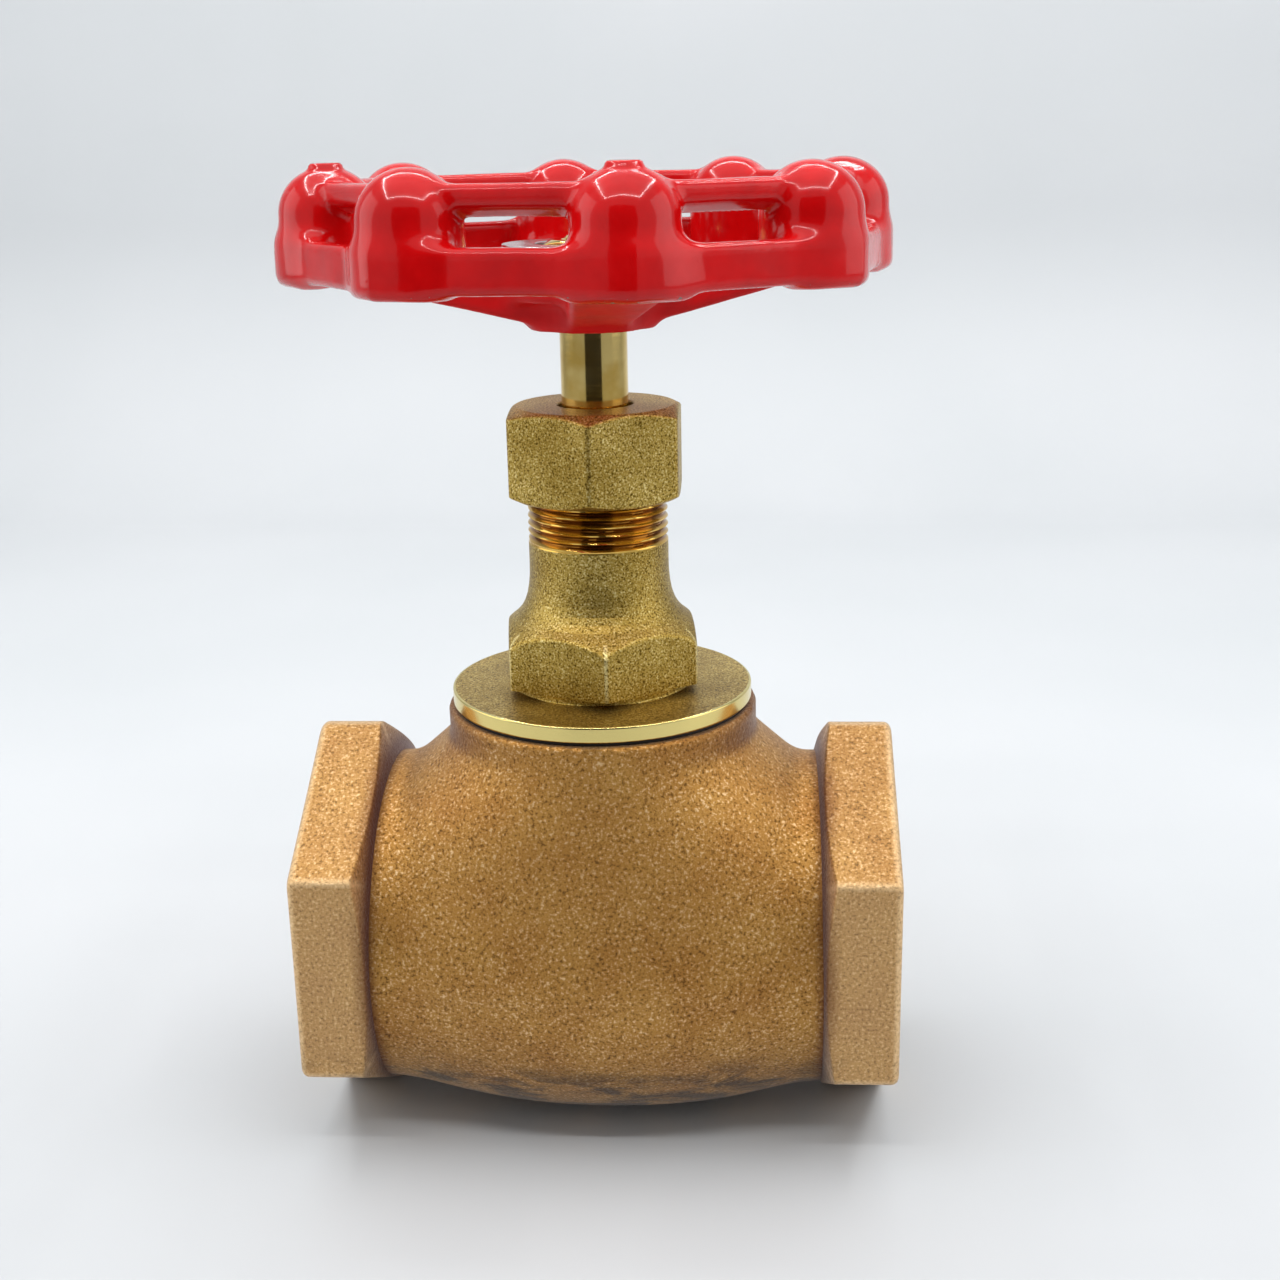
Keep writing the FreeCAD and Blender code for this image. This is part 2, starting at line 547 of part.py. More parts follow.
def make_disc():
    """The plug: holder, seat disc, its washer and nut, and the collar that traps the stem's head."""
    holder = new_body("disc_holder", "Places.insert_base")
    base = "Places.insert_base"
    top = "Places.holder_top - %s" % base
    ceiling = "Sizes.insert_thick"
    rim = "Sizes.insert_proud"
    pocket = "Sizes.insert_radius + Sizes.thread_gap"
    stud_end = "-Sizes.disc_washer_thick - Sizes.disc_nut_height - Sizes.stud_proud"
    head_floor = "%s + Sizes.head_seat" % top
    neck_end = "Places.neck_end - %s" % base
    turn(holder, [("0", stud_end), ("Sizes.stud_radius", stud_end), ("Sizes.stud_radius", ceiling),
                  (pocket, ceiling), (pocket, rim), ("Sizes.holder_radius", rim),
                  ("Sizes.holder_radius", top), ("Sizes.holder_neck_radius", top),
                  ("Sizes.holder_neck_radius", neck_end), ("Sizes.lock_thread_radius", neck_end),
                  ("Sizes.lock_thread_radius", head_floor), ("0", head_floor)])
    stud_hole = "Sizes.stud_radius + Sizes.thread_gap"
    ring("seat_disc", stud_hole, "Sizes.insert_radius", "Sizes.insert_thick", base)
    ring("seat_disc_washer", stud_hole, "Sizes.disc_washer_radius", "Sizes.disc_washer_thick",
         base + " - Sizes.disc_washer_thick")
    nut = new_body("seat_disc_nut", base + " - Sizes.disc_washer_thick - Sizes.disc_nut_height")
    pad(nut, "hexagon_pad", outline(nut, "seat_nut_hexagon", "XY_Plane", hexagon("Sizes.disc_nut_flats")),
        "Sizes.disc_nut_height")
    turn(nut, ring_points("0", stud_hole, "0", "Sizes.disc_nut_height"), cut=True, tag="bore")
    collar = new_body("disc_lock_nut", "Places.neck_end")
    deep = "Places.neck_end - Places.head_top - Sizes.head_gap"
    pad(collar, "hexagon_pad", outline(collar, "lock_hexagon", "XY_Plane", hexagon("Sizes.lock_flats")),
        "Sizes.lock_head_height")
    turn(collar, ring_points("0", "Sizes.lock_thread_radius - Sizes.lock_fit", "-(%s)" % deep,
                             "Sizes.cut_over"), tag="thread")
    turn(collar, ring_points("0", "Sizes.stem_thread_radius + Sizes.lock_clear", "-(%s)" % deep,
                             "Sizes.lock_head_height"), cut=True, tag="bore")


def make_handwheel():
    """The casting: hub, four arms, octagon band and bar, and eight hollow lobes on the octagon's corners."""
    base = "Places.hub_bottom"
    angle = "Sizes.wheel_turn_at_rest"
    half_side = 180.0 / LOBES

    def prism(name, corner, height, low):
        item = part_object("Part::Prism", name, Polygon=LOBES, Circumradius=corner, Height=height)
        item.setExpression("Placement.Base.z", "%s + (%s)" % (base, low))
        item.setExpression("Placement.Rotation.Angle", "%s - 90" % angle)
        return item

    def belt(name, corner, wall, height, low):
        outer = prism(name + "_outside", corner, height, low)
        inner = prism(name + "_inside", "%s - %s / cos(%s)" % (corner, wall, half_side), height, low)
        return part_object("Part::Cut", name, Base=outer, Tool=inner)

    solid = [belt("band", "Sizes.band_radius", "Sizes.band_wall", "Sizes.band_height", "Sizes.band_base"),
             belt("bar", "Sizes.bar_radius", "Sizes.bar_wall", "Sizes.bar_height", "Sizes.bar_base")]
    holes = []

    def dome(name, radius, low, high, count):
        reach = "(Sizes.tip_radius - Sizes.lobe_radius)"
        turn_x = "%s * sin(%s + %d)" % (reach, angle, 2 * half_side * count)
        turn_y = "-%s * cos(%s + %d)" % (reach, angle, 2 * half_side * count)
        shaft = part_object("Part::Cylinder", "%s_shaft_%d" % (name, count), Radius=radius,
                            Height="(%s) - (%s) - (%s)" % (high, radius, low))
        ball = part_object("Part::Sphere", "%s_top_%d" % (name, count), Radius=radius)
        for item, height in ((shaft, low), (ball, "(%s) - (%s)" % (high, radius))):
            item.setExpression("Placement.Base.x", turn_x)
            item.setExpression("Placement.Base.y", turn_y)
            item.setExpression("Placement.Base.z", "%s + (%s)" % (base, height))
        return [shaft, ball]

    for count in range(LOBES):
        solid += dome("lobe", "Sizes.lobe_radius", "Sizes.band_base", "Sizes.lobe_top", count)
        holes += dome("lobe_hollow", "Sizes.lobe_radius - Sizes.lobe_wall",
                      "Sizes.band_base - Sizes.cut_over", "Sizes.lobe_top - Sizes.lobe_wall", count)
    solid.append(cylinder("hub", "Sizes.hub_radius", "Sizes.band_base", base))
    solid.append(cylinder("hub_head", "Sizes.hub_top_radius", "Sizes.hub_height - Sizes.band_base / 2",
                          base + " + Sizes.band_base / 2"))
    end = "Sizes.band_radius * cos(%s) - Sizes.cut_over" % half_side
    under = "Sizes.band_base + Sizes.band_height / 4"
    root = "Sizes.hub_radius - Sizes.arm_root"
    arm = outline(None, "arm_outline", "XZ_Plane", [
        (root, "Sizes.arm_rise"), (end, "Sizes.band_base"), (end, "%s + Sizes.arm_thick / 2" % under),
        (root, "Sizes.arm_rise + Sizes.arm_root_thick")])
    for count in range(ARMS):
        item = extrusion("arm_%d" % count, arm, (0, 1, 0), "Sizes.arm_width / 2", "Sizes.arm_width / 2")
        item.setExpression("Placement.Base.z", base)
        item.setExpression("Placement.Rotation.Angle", "%s - 90 + %d" % (angle, 360 / ARMS * count))
        solid.append(item)
    holes.append(cylinder("hub_recess", "Sizes.hub_recess_radius", "Sizes.hub_recess_depth",
                          "Places.recess_floor"))
    opening = "Sizes.square_side + Sizes.thread_gap"
    square = part_object("Part::Box", "hub_square", Length=opening, Width=opening,
                         Height="Sizes.hub_height + 2 * Sizes.cut_over")
    half = "(%s) / sqrt(2)" % opening
    square.setExpression("Placement.Base.x", "-%s * cos(45 + %s)" % (half, angle))
    square.setExpression("Placement.Base.y", "-%s * sin(45 + %s)" % (half, angle))
    square.setExpression("Placement.Base.z", base + " - Sizes.cut_over")
    square.setExpression("Placement.Rotation.Angle", angle)
    holes.append(square)
    blank = part_object("Part::MultiFuse", "wheel_blank", Shapes=solid)
    cores = part_object("Part::MultiFuse", "wheel_cores", Shapes=holes)
    wheel = part_object("Part::Cut", "wheel_casting", Base=blank, Tool=cores)
    wheel.Label = "handwheel"
    pieces.append(wheel)


def make_wheel_fastening():
    """The dished plate in the hub's recess and the nut on it."""
    plate = new_body("nameplate", "Places.recess_floor")
    cup = "Sizes.hub_recess_radius - Sizes.thread_gap"
    rise = "Sizes.hub_recess_depth"
    hole = "Sizes.wheel_thread_radius + Sizes.thread_gap"
    thick = "Sizes.plate_thick"
    turn(plate, [(hole, "0"), (cup, "0"), (cup, rise), ("Sizes.plate_radius", rise),
                 ("Sizes.plate_radius", "%s + %s" % (rise, thick)),
                 ("%s - %s" % (cup, thick), "%s + %s" % (rise, thick)), ("%s - %s" % (cup, thick), thick),
                 (hole, thick)])
    nut = new_body("wheel_nut", "Places.recess_floor + Sizes.plate_thick")
    pad(nut, "hexagon_pad", outline(nut, "wheel_nut_hexagon", "XY_Plane", hexagon("Sizes.wheel_nut_flats")),
        "Sizes.wheel_nut_height")
    corner_cone(nut, "Sizes.wheel_nut_flats", "Sizes.wheel_nut_height", "Sizes.wheel_nut_chamfer",
                "top_chamfer")
    turn(nut, ring_points("0", hole, "0", "Sizes.wheel_nut_height"), cut=True, tag="bore")


def report_state():
    """Stops if any object failed or any piece has no valid solid."""
    doc.recompute()
    for item in doc.Objects:
        if {"Invalid", "Error"} & set(item.State):
            raise RuntimeError("failed: %s %s" % (item.Name, item.State))
    for piece in pieces:
        if piece.Shape.isNull() or not piece.Shape.isValid() or not piece.Shape.Solids:
            raise RuntimeError("no valid solid: " + piece.Label)


make_body()
make_bonnet()
make_packing()
make_stem()
make_disc()
make_handwheel()
make_wheel_fastening()
ring("bonnet_gasket", "Sizes.collar_bore", "Sizes.flange_radius - Sizes.gasket_inset", "Sizes.gasket_thick",
     "Places.collar_face")
report_state()
os.makedirs("parts", exist_ok=True)
for piece in pieces:
    piece.Shape.exportStep("parts/%s.step" % piece.Label)
    box = piece.Shape.BoundBox
    print("%-18s solids %d  volume %9.1f  z %6.1f to %6.1f" % (
        piece.Label, len(piece.Shape.Solids), piece.Shape.Volume, box.ZMin, box.ZMax))
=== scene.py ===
import json
import math
import bmesh
import bpy
import numpy as np
from mathutils import Matrix, Vector


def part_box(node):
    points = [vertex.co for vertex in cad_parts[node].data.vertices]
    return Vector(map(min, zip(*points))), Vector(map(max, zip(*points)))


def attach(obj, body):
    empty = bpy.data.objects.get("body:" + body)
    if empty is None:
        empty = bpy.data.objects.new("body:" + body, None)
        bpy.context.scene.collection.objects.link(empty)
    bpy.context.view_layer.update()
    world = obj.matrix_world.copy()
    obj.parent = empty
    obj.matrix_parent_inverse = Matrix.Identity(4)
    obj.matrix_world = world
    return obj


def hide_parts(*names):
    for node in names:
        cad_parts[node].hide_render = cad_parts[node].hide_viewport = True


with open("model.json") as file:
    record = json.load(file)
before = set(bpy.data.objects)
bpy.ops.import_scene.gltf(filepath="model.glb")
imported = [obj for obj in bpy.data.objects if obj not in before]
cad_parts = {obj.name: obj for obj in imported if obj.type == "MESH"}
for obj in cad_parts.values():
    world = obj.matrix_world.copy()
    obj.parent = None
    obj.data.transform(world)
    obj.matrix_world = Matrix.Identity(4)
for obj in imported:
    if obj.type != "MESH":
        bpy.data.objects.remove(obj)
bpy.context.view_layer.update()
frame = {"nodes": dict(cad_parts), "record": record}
nodes = frame["nodes"]
mm = 0.001
pipeHeight = [m for m in frame["record"]["mounts"] if m["name"] == "port_right"][0]["pos_m"][2] / mm


def heightsOf(name):  # lowest and highest level of a CAD node in mm
    low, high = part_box(name)
    return low.z / mm, high.z / mm


collarTop = 38.7  # above the belly's centre; the levels of body and bonnet are all measured from there
bellyHeight = heightsOf("body")[1] - collarTop


def colourOf(code):  # sRGB hex to linear: c/12.92 under 0.04045, else ((c+0.055)/1.055)^2.4
    values = np.array([int(code[i:i + 2], 16) for i in (1, 3, 5)]) / 255
    linear = np.where(values <= 0.04045, values / 12.92, ((values + 0.055) / 1.055) ** 2.4)
    return (*linear.tolist(), 1.0)


def perMm(size):  # pattern scale that makes one feature this many mm wide
    return 1 / (size * mm)


def addNode(tree, kind, inputs=None, stops=None, **settings):
    # one node with its settings; an input given as a socket is linked, anything else is its value
    node = tree.nodes.new("ShaderNode" + kind)
    for key, value in settings.items():
        setattr(node, key, value)
    if stops:
        ramp = node.color_ramp
        while len(ramp.elements) < len(stops):
            ramp.elements.new(0.5)
        for element, (place, colour) in zip(ramp.elements, stops):
            element.position = place
            element.color = colour if not isinstance(colour, (int, float)) else (colour, colour, colour, 1)
    for key, value in (inputs or {}).items():
        if isinstance(value, bpy.types.NodeSocket):
            tree.links.new(value, node.inputs[key])
        else:
            node.inputs[key].default_value = value
    return node


def newMaterial(name, **fixed):  # a principled material, its constant values on the shader's own sockets
    material = bpy.data.materials.new(name)
    material.use_nodes = True
    tree = material.node_tree
    shader = tree.nodes["Principled BSDF"]
    for key, value in fixed.items():
        shader.inputs[key.replace("_", " ")].default_value = value
    place = addNode(tree, "TexCoord").outputs["Object"]
    return material, tree, shader, place


def addPiece(name, points, faces, material, body, replaced=(), masks=None, angle=35):
    # mesh from whole arrays in mm; doubled points at seams and poles are welded
    mesh = bpy.data.meshes.new(name)
    faces = np.asarray(faces)
    mesh.from_pydata((np.asarray(points) * mm).tolist(), [], faces.tolist())
    for key, values in (masks or {}).items():
        mesh.attributes.new(key, "FLOAT", "POINT").data.foreach_set("value", values.astype(np.float32))
    work = bmesh.new()
    work.from_mesh(mesh)
    bmesh.ops.remove_doubles(work, verts=work.verts, dist=1e-6)
    bmesh.ops.dissolve_degenerate(work, edges=work.edges, dist=1e-7)
    if work.calc_volume(signed=True) < 0:
        bmesh.ops.reverse_faces(work, faces=work.faces)
    work.to_mesh(mesh)
    work.free()
    mesh.shade_smooth()
    mesh.set_sharp_from_angle(angle=math.radians(angle))
    piece = bpy.data.objects.new(name, mesh)
    bpy.context.scene.collection.objects.link(piece)
    mesh.materials.append(material)
    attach(piece, body)
    if replaced:
        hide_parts(*replaced)
    print("%s: %d faces" % (name, len(mesh.polygons)))
    return piece


def roundedPath(corners, radius, steps=5):
    # each corner becomes a quadratic bend that starts radius * tan(turn / 2) before it, at most 0.45 of
    # the shorter side
    corners = np.asarray(corners, float)
    before, after = np.roll(corners, 1, 0), np.roll(corners, -1, 0)
    inward, outward = before - corners, after - corners
    lengthIn = np.linalg.norm(inward, axis=1)
    lengthOut = np.linalg.norm(outward, axis=1)
    cosine = (inward * outward).sum(1) / (lengthIn * lengthOut)
    turn = math.pi - np.arccos(np.clip(cosine, -1, 1))
    setBack = np.minimum(radius * np.tan(np.minimum(turn, 2.8) / 2), 0.45 * np.minimum(lengthIn, lengthOut))
    start = corners + inward * (setBack / lengthIn)[:, None]
    end = corners + outward * (setBack / lengthOut)[:, None]
    w = np.linspace(0, 1, steps)[None, :, None]
    bends = (1 - w) ** 2 * start[:, None] + 2 * w * (1 - w) * corners[:, None] + w ** 2 * end[:, None]
    return bends.reshape(-1, 2)


def evenPath(path, step):
    # closed path with points added so that none are further apart than step
    closed = np.vstack([path, path[:1]])
    along = np.concatenate([[0], np.cumsum(np.linalg.norm(np.diff(closed, axis=0), axis=1))])
    stations = np.unique(np.round(np.concatenate([along, np.arange(0, along[-1], step)]), 4))
    return np.stack([np.interp(stations, along, closed[:, i]) for i in (0, 1)], 1)


def spokesOf(count, sides=0, crowd=0.0, turned=0.0):
    # angles round the axis, crowded towards a polygon's corners: t - crowd * sin(sides * t) / sides
    t = np.linspace(0, 2 * math.pi, count + 1)
    return t - (crowd * np.sin(sides * t) / sides if sides else 0) + math.radians(turned)


def polygonReach(theta, sides, apothem, fillet, turned=0.0):
    # distance from the axis to a polygon with round corners; a corner points along the angle turned
    half = math.pi / sides
    gamma = np.abs(np.mod(theta - math.radians(turned) + half, 2 * half) - half)
    flat = apothem / np.cos(half - gamma)
    centre = (apothem - fillet) / math.cos(half)
    arc = centre * np.cos(gamma) + np.sqrt(np.maximum(fillet ** 2 - (centre * np.sin(gamma)) ** 2, 0))
    tangent = half - math.atan((apothem - fillet) * math.tan(half) / apothem)
    return np.where(gamma > tangent, flat, arc)


def ridgeOf(angles, radius, sides, turned, width):  # 1 on a polygon's corners, falling as exp(-(arc/width)^2)
    half = math.pi / sides
    gamma = np.mod(angles - math.radians(turned) + half, 2 * half) - half
    return np.exp(-(gamma * radius / width) ** 2)


def softMin(a, b, reach):  # min(a, b) less a quarter of reach times the squared overlap share
    share = np.maximum(reach - np.abs(a - b), 0) / reach
    return np.minimum(a, b) - share ** 2 * reach / 4


def softMax(a, b, reach):
    return -softMin(-a, -b, reach)


def turnedSkin(path, theta, shape=None, axis="z", flip=1):
    # grid of profile station by angle: radius and height from the profile, radius then changed by shape
    radius = np.repeat(path[:, :1], len(theta), 1)
    along = np.repeat(path[:, 1:2], len(theta), 1)
    angles = np.repeat(theta[None, :], len(path), 0)
    if shape:
        radius = shape(radius, along, angles)
    across, up = radius * np.cos(angles), radius * np.sin(angles)
    points = (across, up, along) if axis == "z" else (flip * along, across, up)
    points = np.stack(points, -1).reshape(-1, 3)
    rows, columns = np.meshgrid(np.arange(len(path) - 1), np.arange(len(theta) - 1), indexing="ij")
    corner = (rows * len(theta) + columns).ravel()
    faces = np.stack([corner, corner + 1, corner + 1 + len(theta), corner + len(theta)], 1)
    return points, faces, radius.ravel(), along.ravel(), angles.ravel()


def threadCut(along, angles, pitch, depth, low, high, runOut):
    # V groove on a helix: share of the pitch is along / pitch + angle / turn, and it fades at both ends
    share = np.mod(along / pitch + angles / (2 * math.pi), 1)
    groove = np.clip(1.25 * (1 - np.abs(2 * share - 1)) - 0.1, 0, 1)
    ends = np.clip((along - low) / runOut, 0, 1) * np.clip((high - along) / runOut, 0, 1)
    return depth * groove * ends


def fieldSkin(field, low, high, step, rounds=3):
    # one point in each cell that the zero level crosses and one face over each grid edge it cuts, then the
    # points are evened out and moved along the field's slope by value / slope^2 until they lie on the level
    low = np.array(low, float)
    counts = np.ceil((np.array(high) - low) / step).astype(int) + 1
    xs, ys, zs = [low[i] + step * np.arange(counts[i]) for i in range(3)]
    value = np.concatenate([field(*np.meshgrid(part, ys, zs, indexing="ij"))
                            for part in np.array_split(xs, max(1, len(xs) // 16))])
    inside = value < 0
    cells = counts - 1
    total = sum(inside[i:i + cells[0], j:j + cells[1], k:k + cells[2]].astype(np.int8)
                for i in (0, 1) for j in (0, 1) for k in (0, 1))
    mixed = (total > 0) & (total < 8)
    index = np.full(mixed.shape, -1)
    index[mixed] = np.arange(mixed.sum())
    points = low + step * (np.argwhere(mixed) + 0.5)
    faces = []
    for axis in range(3):
        u, v = (axis + 1) % 3, (axis + 2) % 3
        lower = inside.take(range(cells[axis]), axis)
        upper = inside.take(range(1, counts[axis]), axis)
        cut = np.argwhere(lower != upper)
        cut = cut[(cut[:, u] > 0) & (cut[:, v] > 0) & (cut[:, u] < cells[u]) & (cut[:, v] < cells[v])]
        rising = lower[tuple(cut.T)]
        corners = []
        for du, dv in ((1, 1), (0, 1), (0, 0), (1, 0)):
            cell = cut.copy()
            cell[:, u] -= du
            cell[:, v] -= dv
            corners.append(index[tuple(cell.T)])
        quads = np.stack(corners, 1)
        quads[~rising] = quads[~rising][:, ::-1]
        faces.append(quads)
    faces = np.concatenate(faces)
    starts = faces.ravel()
    ends = np.roll(faces, -1, 1).ravel()
    weight = np.bincount(starts, minlength=len(points))
    nudge = 0.04
    for count in range(rounds + 2):
        if count:
            mean = np.stack([np.bincount(starts, points[ends, i], len(points)) for i in range(3)], 1)
            points = points + 0.5 * (mean / weight[:, None] - points)
        for again in range(2):
            slope = np.stack([(field(*(points + nudge * way).T) - field(*(points - nudge * way).T))
                              / (2 * nudge) for way in np.eye(3)], 1)
            shift = field(*points.T) / np.maximum((slope ** 2).sum(1), 0.2)
            points = points - np.clip(shift, -step, step)[:, None] * slope
    return points, faces


def roundedBox(a, b, halfA, halfB, radius):  # distance in a plane from a box with round corners
    da, db = np.abs(a) - halfA + radius, np.abs(b) - halfB + radius
    return np.minimum(np.maximum(da, db), 0) + np.hypot(np.maximum(da, 0), np.maximum(db, 0)) - radius


def unevenness(x, y, z, size, seed):
    # sum of six slow sine waves in random directions, about -1 to 1, for hand-made shapes
    rng = np.random.default_rng(seed)
    total = 0
    for way, phase in zip(rng.normal(size=(6, 3)), rng.uniform(0, 6.28, 6)):
        way = way / np.linalg.norm(way) / size * 2 * math.pi
        total = total + np.sin(x * way[0] + y * way[1] + z * way[2] + phase)
    return total / 3


# Sand-cast bronze, shot-blasted: the mould's sand leaves grains half a millimetre wide and pits a little
# wider, and the skin keeps a warm brown tint, stained where it was handled, with painted shade darkening the
# creases.
bronze = {"body": "#B98A44", "pale": "#E6C595", "dark": "#77511F", "creaseShade": "#62311A", "stain": "#3F2A1B",
          "warm": "#DCC8AE", "clean": "#FFFFFF", "grain": 0.5, "pits": 0.8, "patch": 9.0, "blot": 5.0,
          "bump": 0.85, "bumpDeep": 0.16}


def makeBronze():
    material, tree, shader, place = newMaterial("sandCastBronze", Metallic=0.8, Sheen_Weight=0.3,
                                                Sheen_Roughness=0.4)
    grain = addNode(tree, "TexNoise", {"Vector": place, "Scale": perMm(bronze["grain"]), "Detail": 3.0,
                                       "Roughness": 0.65})
    pits = addNode(tree, "TexVoronoi", {"Vector": place, "Scale": perMm(bronze["pits"])})
    patch = addNode(tree, "TexNoise", {"Vector": place, "Scale": perMm(bronze["patch"]), "Detail": 4.0})
    tone = addNode(tree, "ValToRGB", {"Fac": grain.outputs["Fac"]},
                   stops=[(0.34, colourOf(bronze["dark"])), (0.46, colourOf(bronze["body"])),
                          (0.56, colourOf(bronze["body"])), (0.66, colourOf(bronze["pale"]))])
    warm = addNode(tree, "ValToRGB", {"Fac": patch.outputs["Fac"]},
                   stops=[(0.3, colourOf(bronze["warm"])), (0.7, colourOf(bronze["clean"]))])
    mixed = addNode(tree, "Mix", {0: 0.7, 6: tone.outputs["Color"], 7: warm.outputs["Color"]},
                    data_type="RGBA", blend_type="MULTIPLY")
    pitMask = addNode(tree, "ValToRGB", {"Fac": pits.outputs["Distance"]}, stops=[(0.05, 0.45), (0.16, 1.0)])
    pitted = addNode(tree, "Mix", {0: 0.7, 6: mixed.outputs[2], 7: pitMask.outputs["Color"]},
                     data_type="RGBA", blend_type="MULTIPLY")
    ridge = addNode(tree, "Attribute", attribute_name="ridge")
    rubbed = addNode(tree, "Math", {0: ridge.outputs["Fac"], 1: grain.outputs["Fac"]}, operation="MULTIPLY")
    bright = addNode(tree, "MapRange", {"Value": rubbed.outputs[0], "From Min": 0.0, "From Max": 0.6})
    edged = addNode(tree, "Mix", {0: bright.outputs[0], 6: pitted.outputs[2], 7: colourOf(bronze["pale"])},
                    data_type="RGBA")
    # painted shade: the crease colour darkens where the body's parts meet and, more lightly, inside the ports
    creaseShade = addNode(tree, "Attribute", attribute_name="creaseShade")
    creaseShaded = addNode(tree, "Mix", {0: creaseShade.outputs["Fac"], 6: edged.outputs[2],
                                    7: colourOf(bronze["creaseShade"])}, data_type="RGBA")
    stain = addNode(tree, "Attribute", attribute_name="stain")
    smeared = addNode(tree, "Mapping", {"Vector": place, "Scale": (0.5, 0.5, 1.3)})
    blot = addNode(tree, "TexNoise", {"Vector": smeared.outputs[0], "Scale": perMm(bronze["blot"]),
                                      "Detail": 5.0, "Roughness": 0.65, "Distortion": 0.6})
    blotMask = addNode(tree, "ValToRGB", {"Fac": blot.outputs["Fac"]}, stops=[(0.45, 0.0), (0.58, 0.85)])
    stained = addNode(tree, "Math", {0: stain.outputs["Fac"], 1: blotMask.outputs["Color"]},
                      operation="MULTIPLY")
    colour = addNode(tree, "Mix", {0: stained.outputs[0], 6: creaseShaded.outputs[2],
                                   7: colourOf(bronze["stain"])}, data_type="RGBA")
    tree.links.new(colour.outputs[2], shader.inputs["Base Color"])
    rough = addNode(tree, "MapRange", {"Value": grain.outputs["Fac"], "From Min": 0.3, "From Max": 0.7,
                                       "To Min": 0.68, "To Max": 0.42})
    tree.links.new(rough.outputs[0], shader.inputs["Roughness"])
    height = addNode(tree, "Math", {0: grain.outputs["Fac"], 1: pitMask.outputs["Color"]},
                     operation="MULTIPLY")
    bump = addNode(tree, "Bump", {"Height": height.outputs[0], "Strength": bronze["bump"],
                                  "Distance": bronze["bumpDeep"] * mm})
    tree.links.new(bump.outputs[0], shader.inputs["Normal"])
    return material


# Forged brass, shot-blasted: the blasting leaves a fine olive-gold speckle. Turned places, marked by the
# attribute machined, are smooth and paler.
# groove: painted shade colour for the roots of the thread's grooves
brass = {"body": "#BC9F50", "pale": "#F0E0A2", "dark": "#5C451A", "turned": "#DCC981", "crest": "#DDB35A",
         "groove": "#8A5A22", "shade": "#C7BE9E", "clean": "#FFFFFF", "speckle": 0.3, "patch": 9.0,
         "bump": 0.75, "bumpDeep": 0.11}


def makeBrass():
    material, tree, shader, place = newMaterial("blastedBrass", Metallic=1.0)
    speckle = addNode(tree, "TexNoise", {"Vector": place, "Scale": perMm(brass["speckle"]), "Detail": 2.0,
                                         "Roughness": 0.7})
    patch = addNode(tree, "TexNoise", {"Vector": place, "Scale": perMm(brass["patch"]), "Detail": 3.0})
    tone = addNode(tree, "ValToRGB", {"Fac": speckle.outputs["Fac"]},
                   stops=[(0.36, colourOf(brass["dark"])), (0.48, colourOf(brass["body"])),
                          (0.56, colourOf(brass["body"])), (0.67, colourOf(brass["pale"]))])
    shade = addNode(tree, "ValToRGB", {"Fac": patch.outputs["Fac"]},
                    stops=[(0.3, colourOf(brass["shade"])), (0.7, colourOf(brass["clean"]))])
    cast = addNode(tree, "Mix", {0: 0.8, 6: tone.outputs["Color"], 7: shade.outputs["Color"]},
                   data_type="RGBA", blend_type="MULTIPLY")
    machined = addNode(tree, "Attribute", attribute_name="machined")
    edge = addNode(tree, "Math", {0: machined.outputs["Fac"], 1: speckle.outputs["Fac"]}, operation="ADD")
    clean = addNode(tree, "MapRange", {"Value": edge.outputs[0], "From Min": 0.9, "From Max": 1.1})
    tint = addNode(tree, "Mix", {0: clean.outputs[0], 6: cast.outputs[2], 7: colourOf(brass["turned"])},
                   data_type="RGBA")
    ridge = addNode(tree, "Attribute", attribute_name="ridge")
    rubbed = addNode(tree, "Math", {0: ridge.outputs["Fac"], 1: speckle.outputs["Fac"]}, operation="MULTIPLY")
    bright = addNode(tree, "MapRange", {"Value": rubbed.outputs[0], "From Min": 0.3, "From Max": 0.6})
    edged = addNode(tree, "Mix", {0: bright.outputs[0], 6: tint.outputs[2], 7: colourOf(brass["pale"])},
                    data_type="RGBA")
    # the thread's colour runs from the crest colour to the groove colour towards each groove's root: painted
    # shade in the grooves
    thread = addNode(tree, "Attribute", attribute_name="thread")
    groove = addNode(tree, "Attribute", attribute_name="groove")
    turned = addNode(tree, "ValToRGB", {"Fac": groove.outputs["Fac"]},
                     stops=[(0.15, colourOf(brass["crest"])), (0.8, colourOf(brass["groove"]))])
    colour = addNode(tree, "Mix", {0: thread.outputs["Fac"], 6: edged.outputs[2], 7: turned.outputs["Color"]},
                     data_type="RGBA")
    tree.links.new(colour.outputs[2], shader.inputs["Base Color"])
    smooth = addNode(tree, "Math", {0: clean.outputs[0], 1: thread.outputs["Fac"]}, operation="MAXIMUM")
    rough = addNode(tree, "MapRange", {"Value": smooth.outputs[0], "To Min": 0.42, "To Max": 0.17})
    tree.links.new(rough.outputs[0], shader.inputs["Roughness"])
    strength = addNode(tree, "MapRange", {"Value": smooth.outputs[0], "To Min": brass["bump"],
                                          "To Max": 0.04})
    bump = addNode(tree, "Bump", {"Height": speckle.outputs["Fac"], "Strength": strength.outputs[0],
                                  "Distance": brass["bumpDeep"] * mm})
    tree.links.new(bump.outputs[0], shader.inputs["Normal"])
    return material


# Turned and polished brass: a mirror-like gold with fine rings left by the lathe.
polish = {"colour": "#E2C57C", "deep": "#CDA957", "ring": 0.3, "smear": 5.0, "spread": 0.06, "bumpDeep": 0.03}


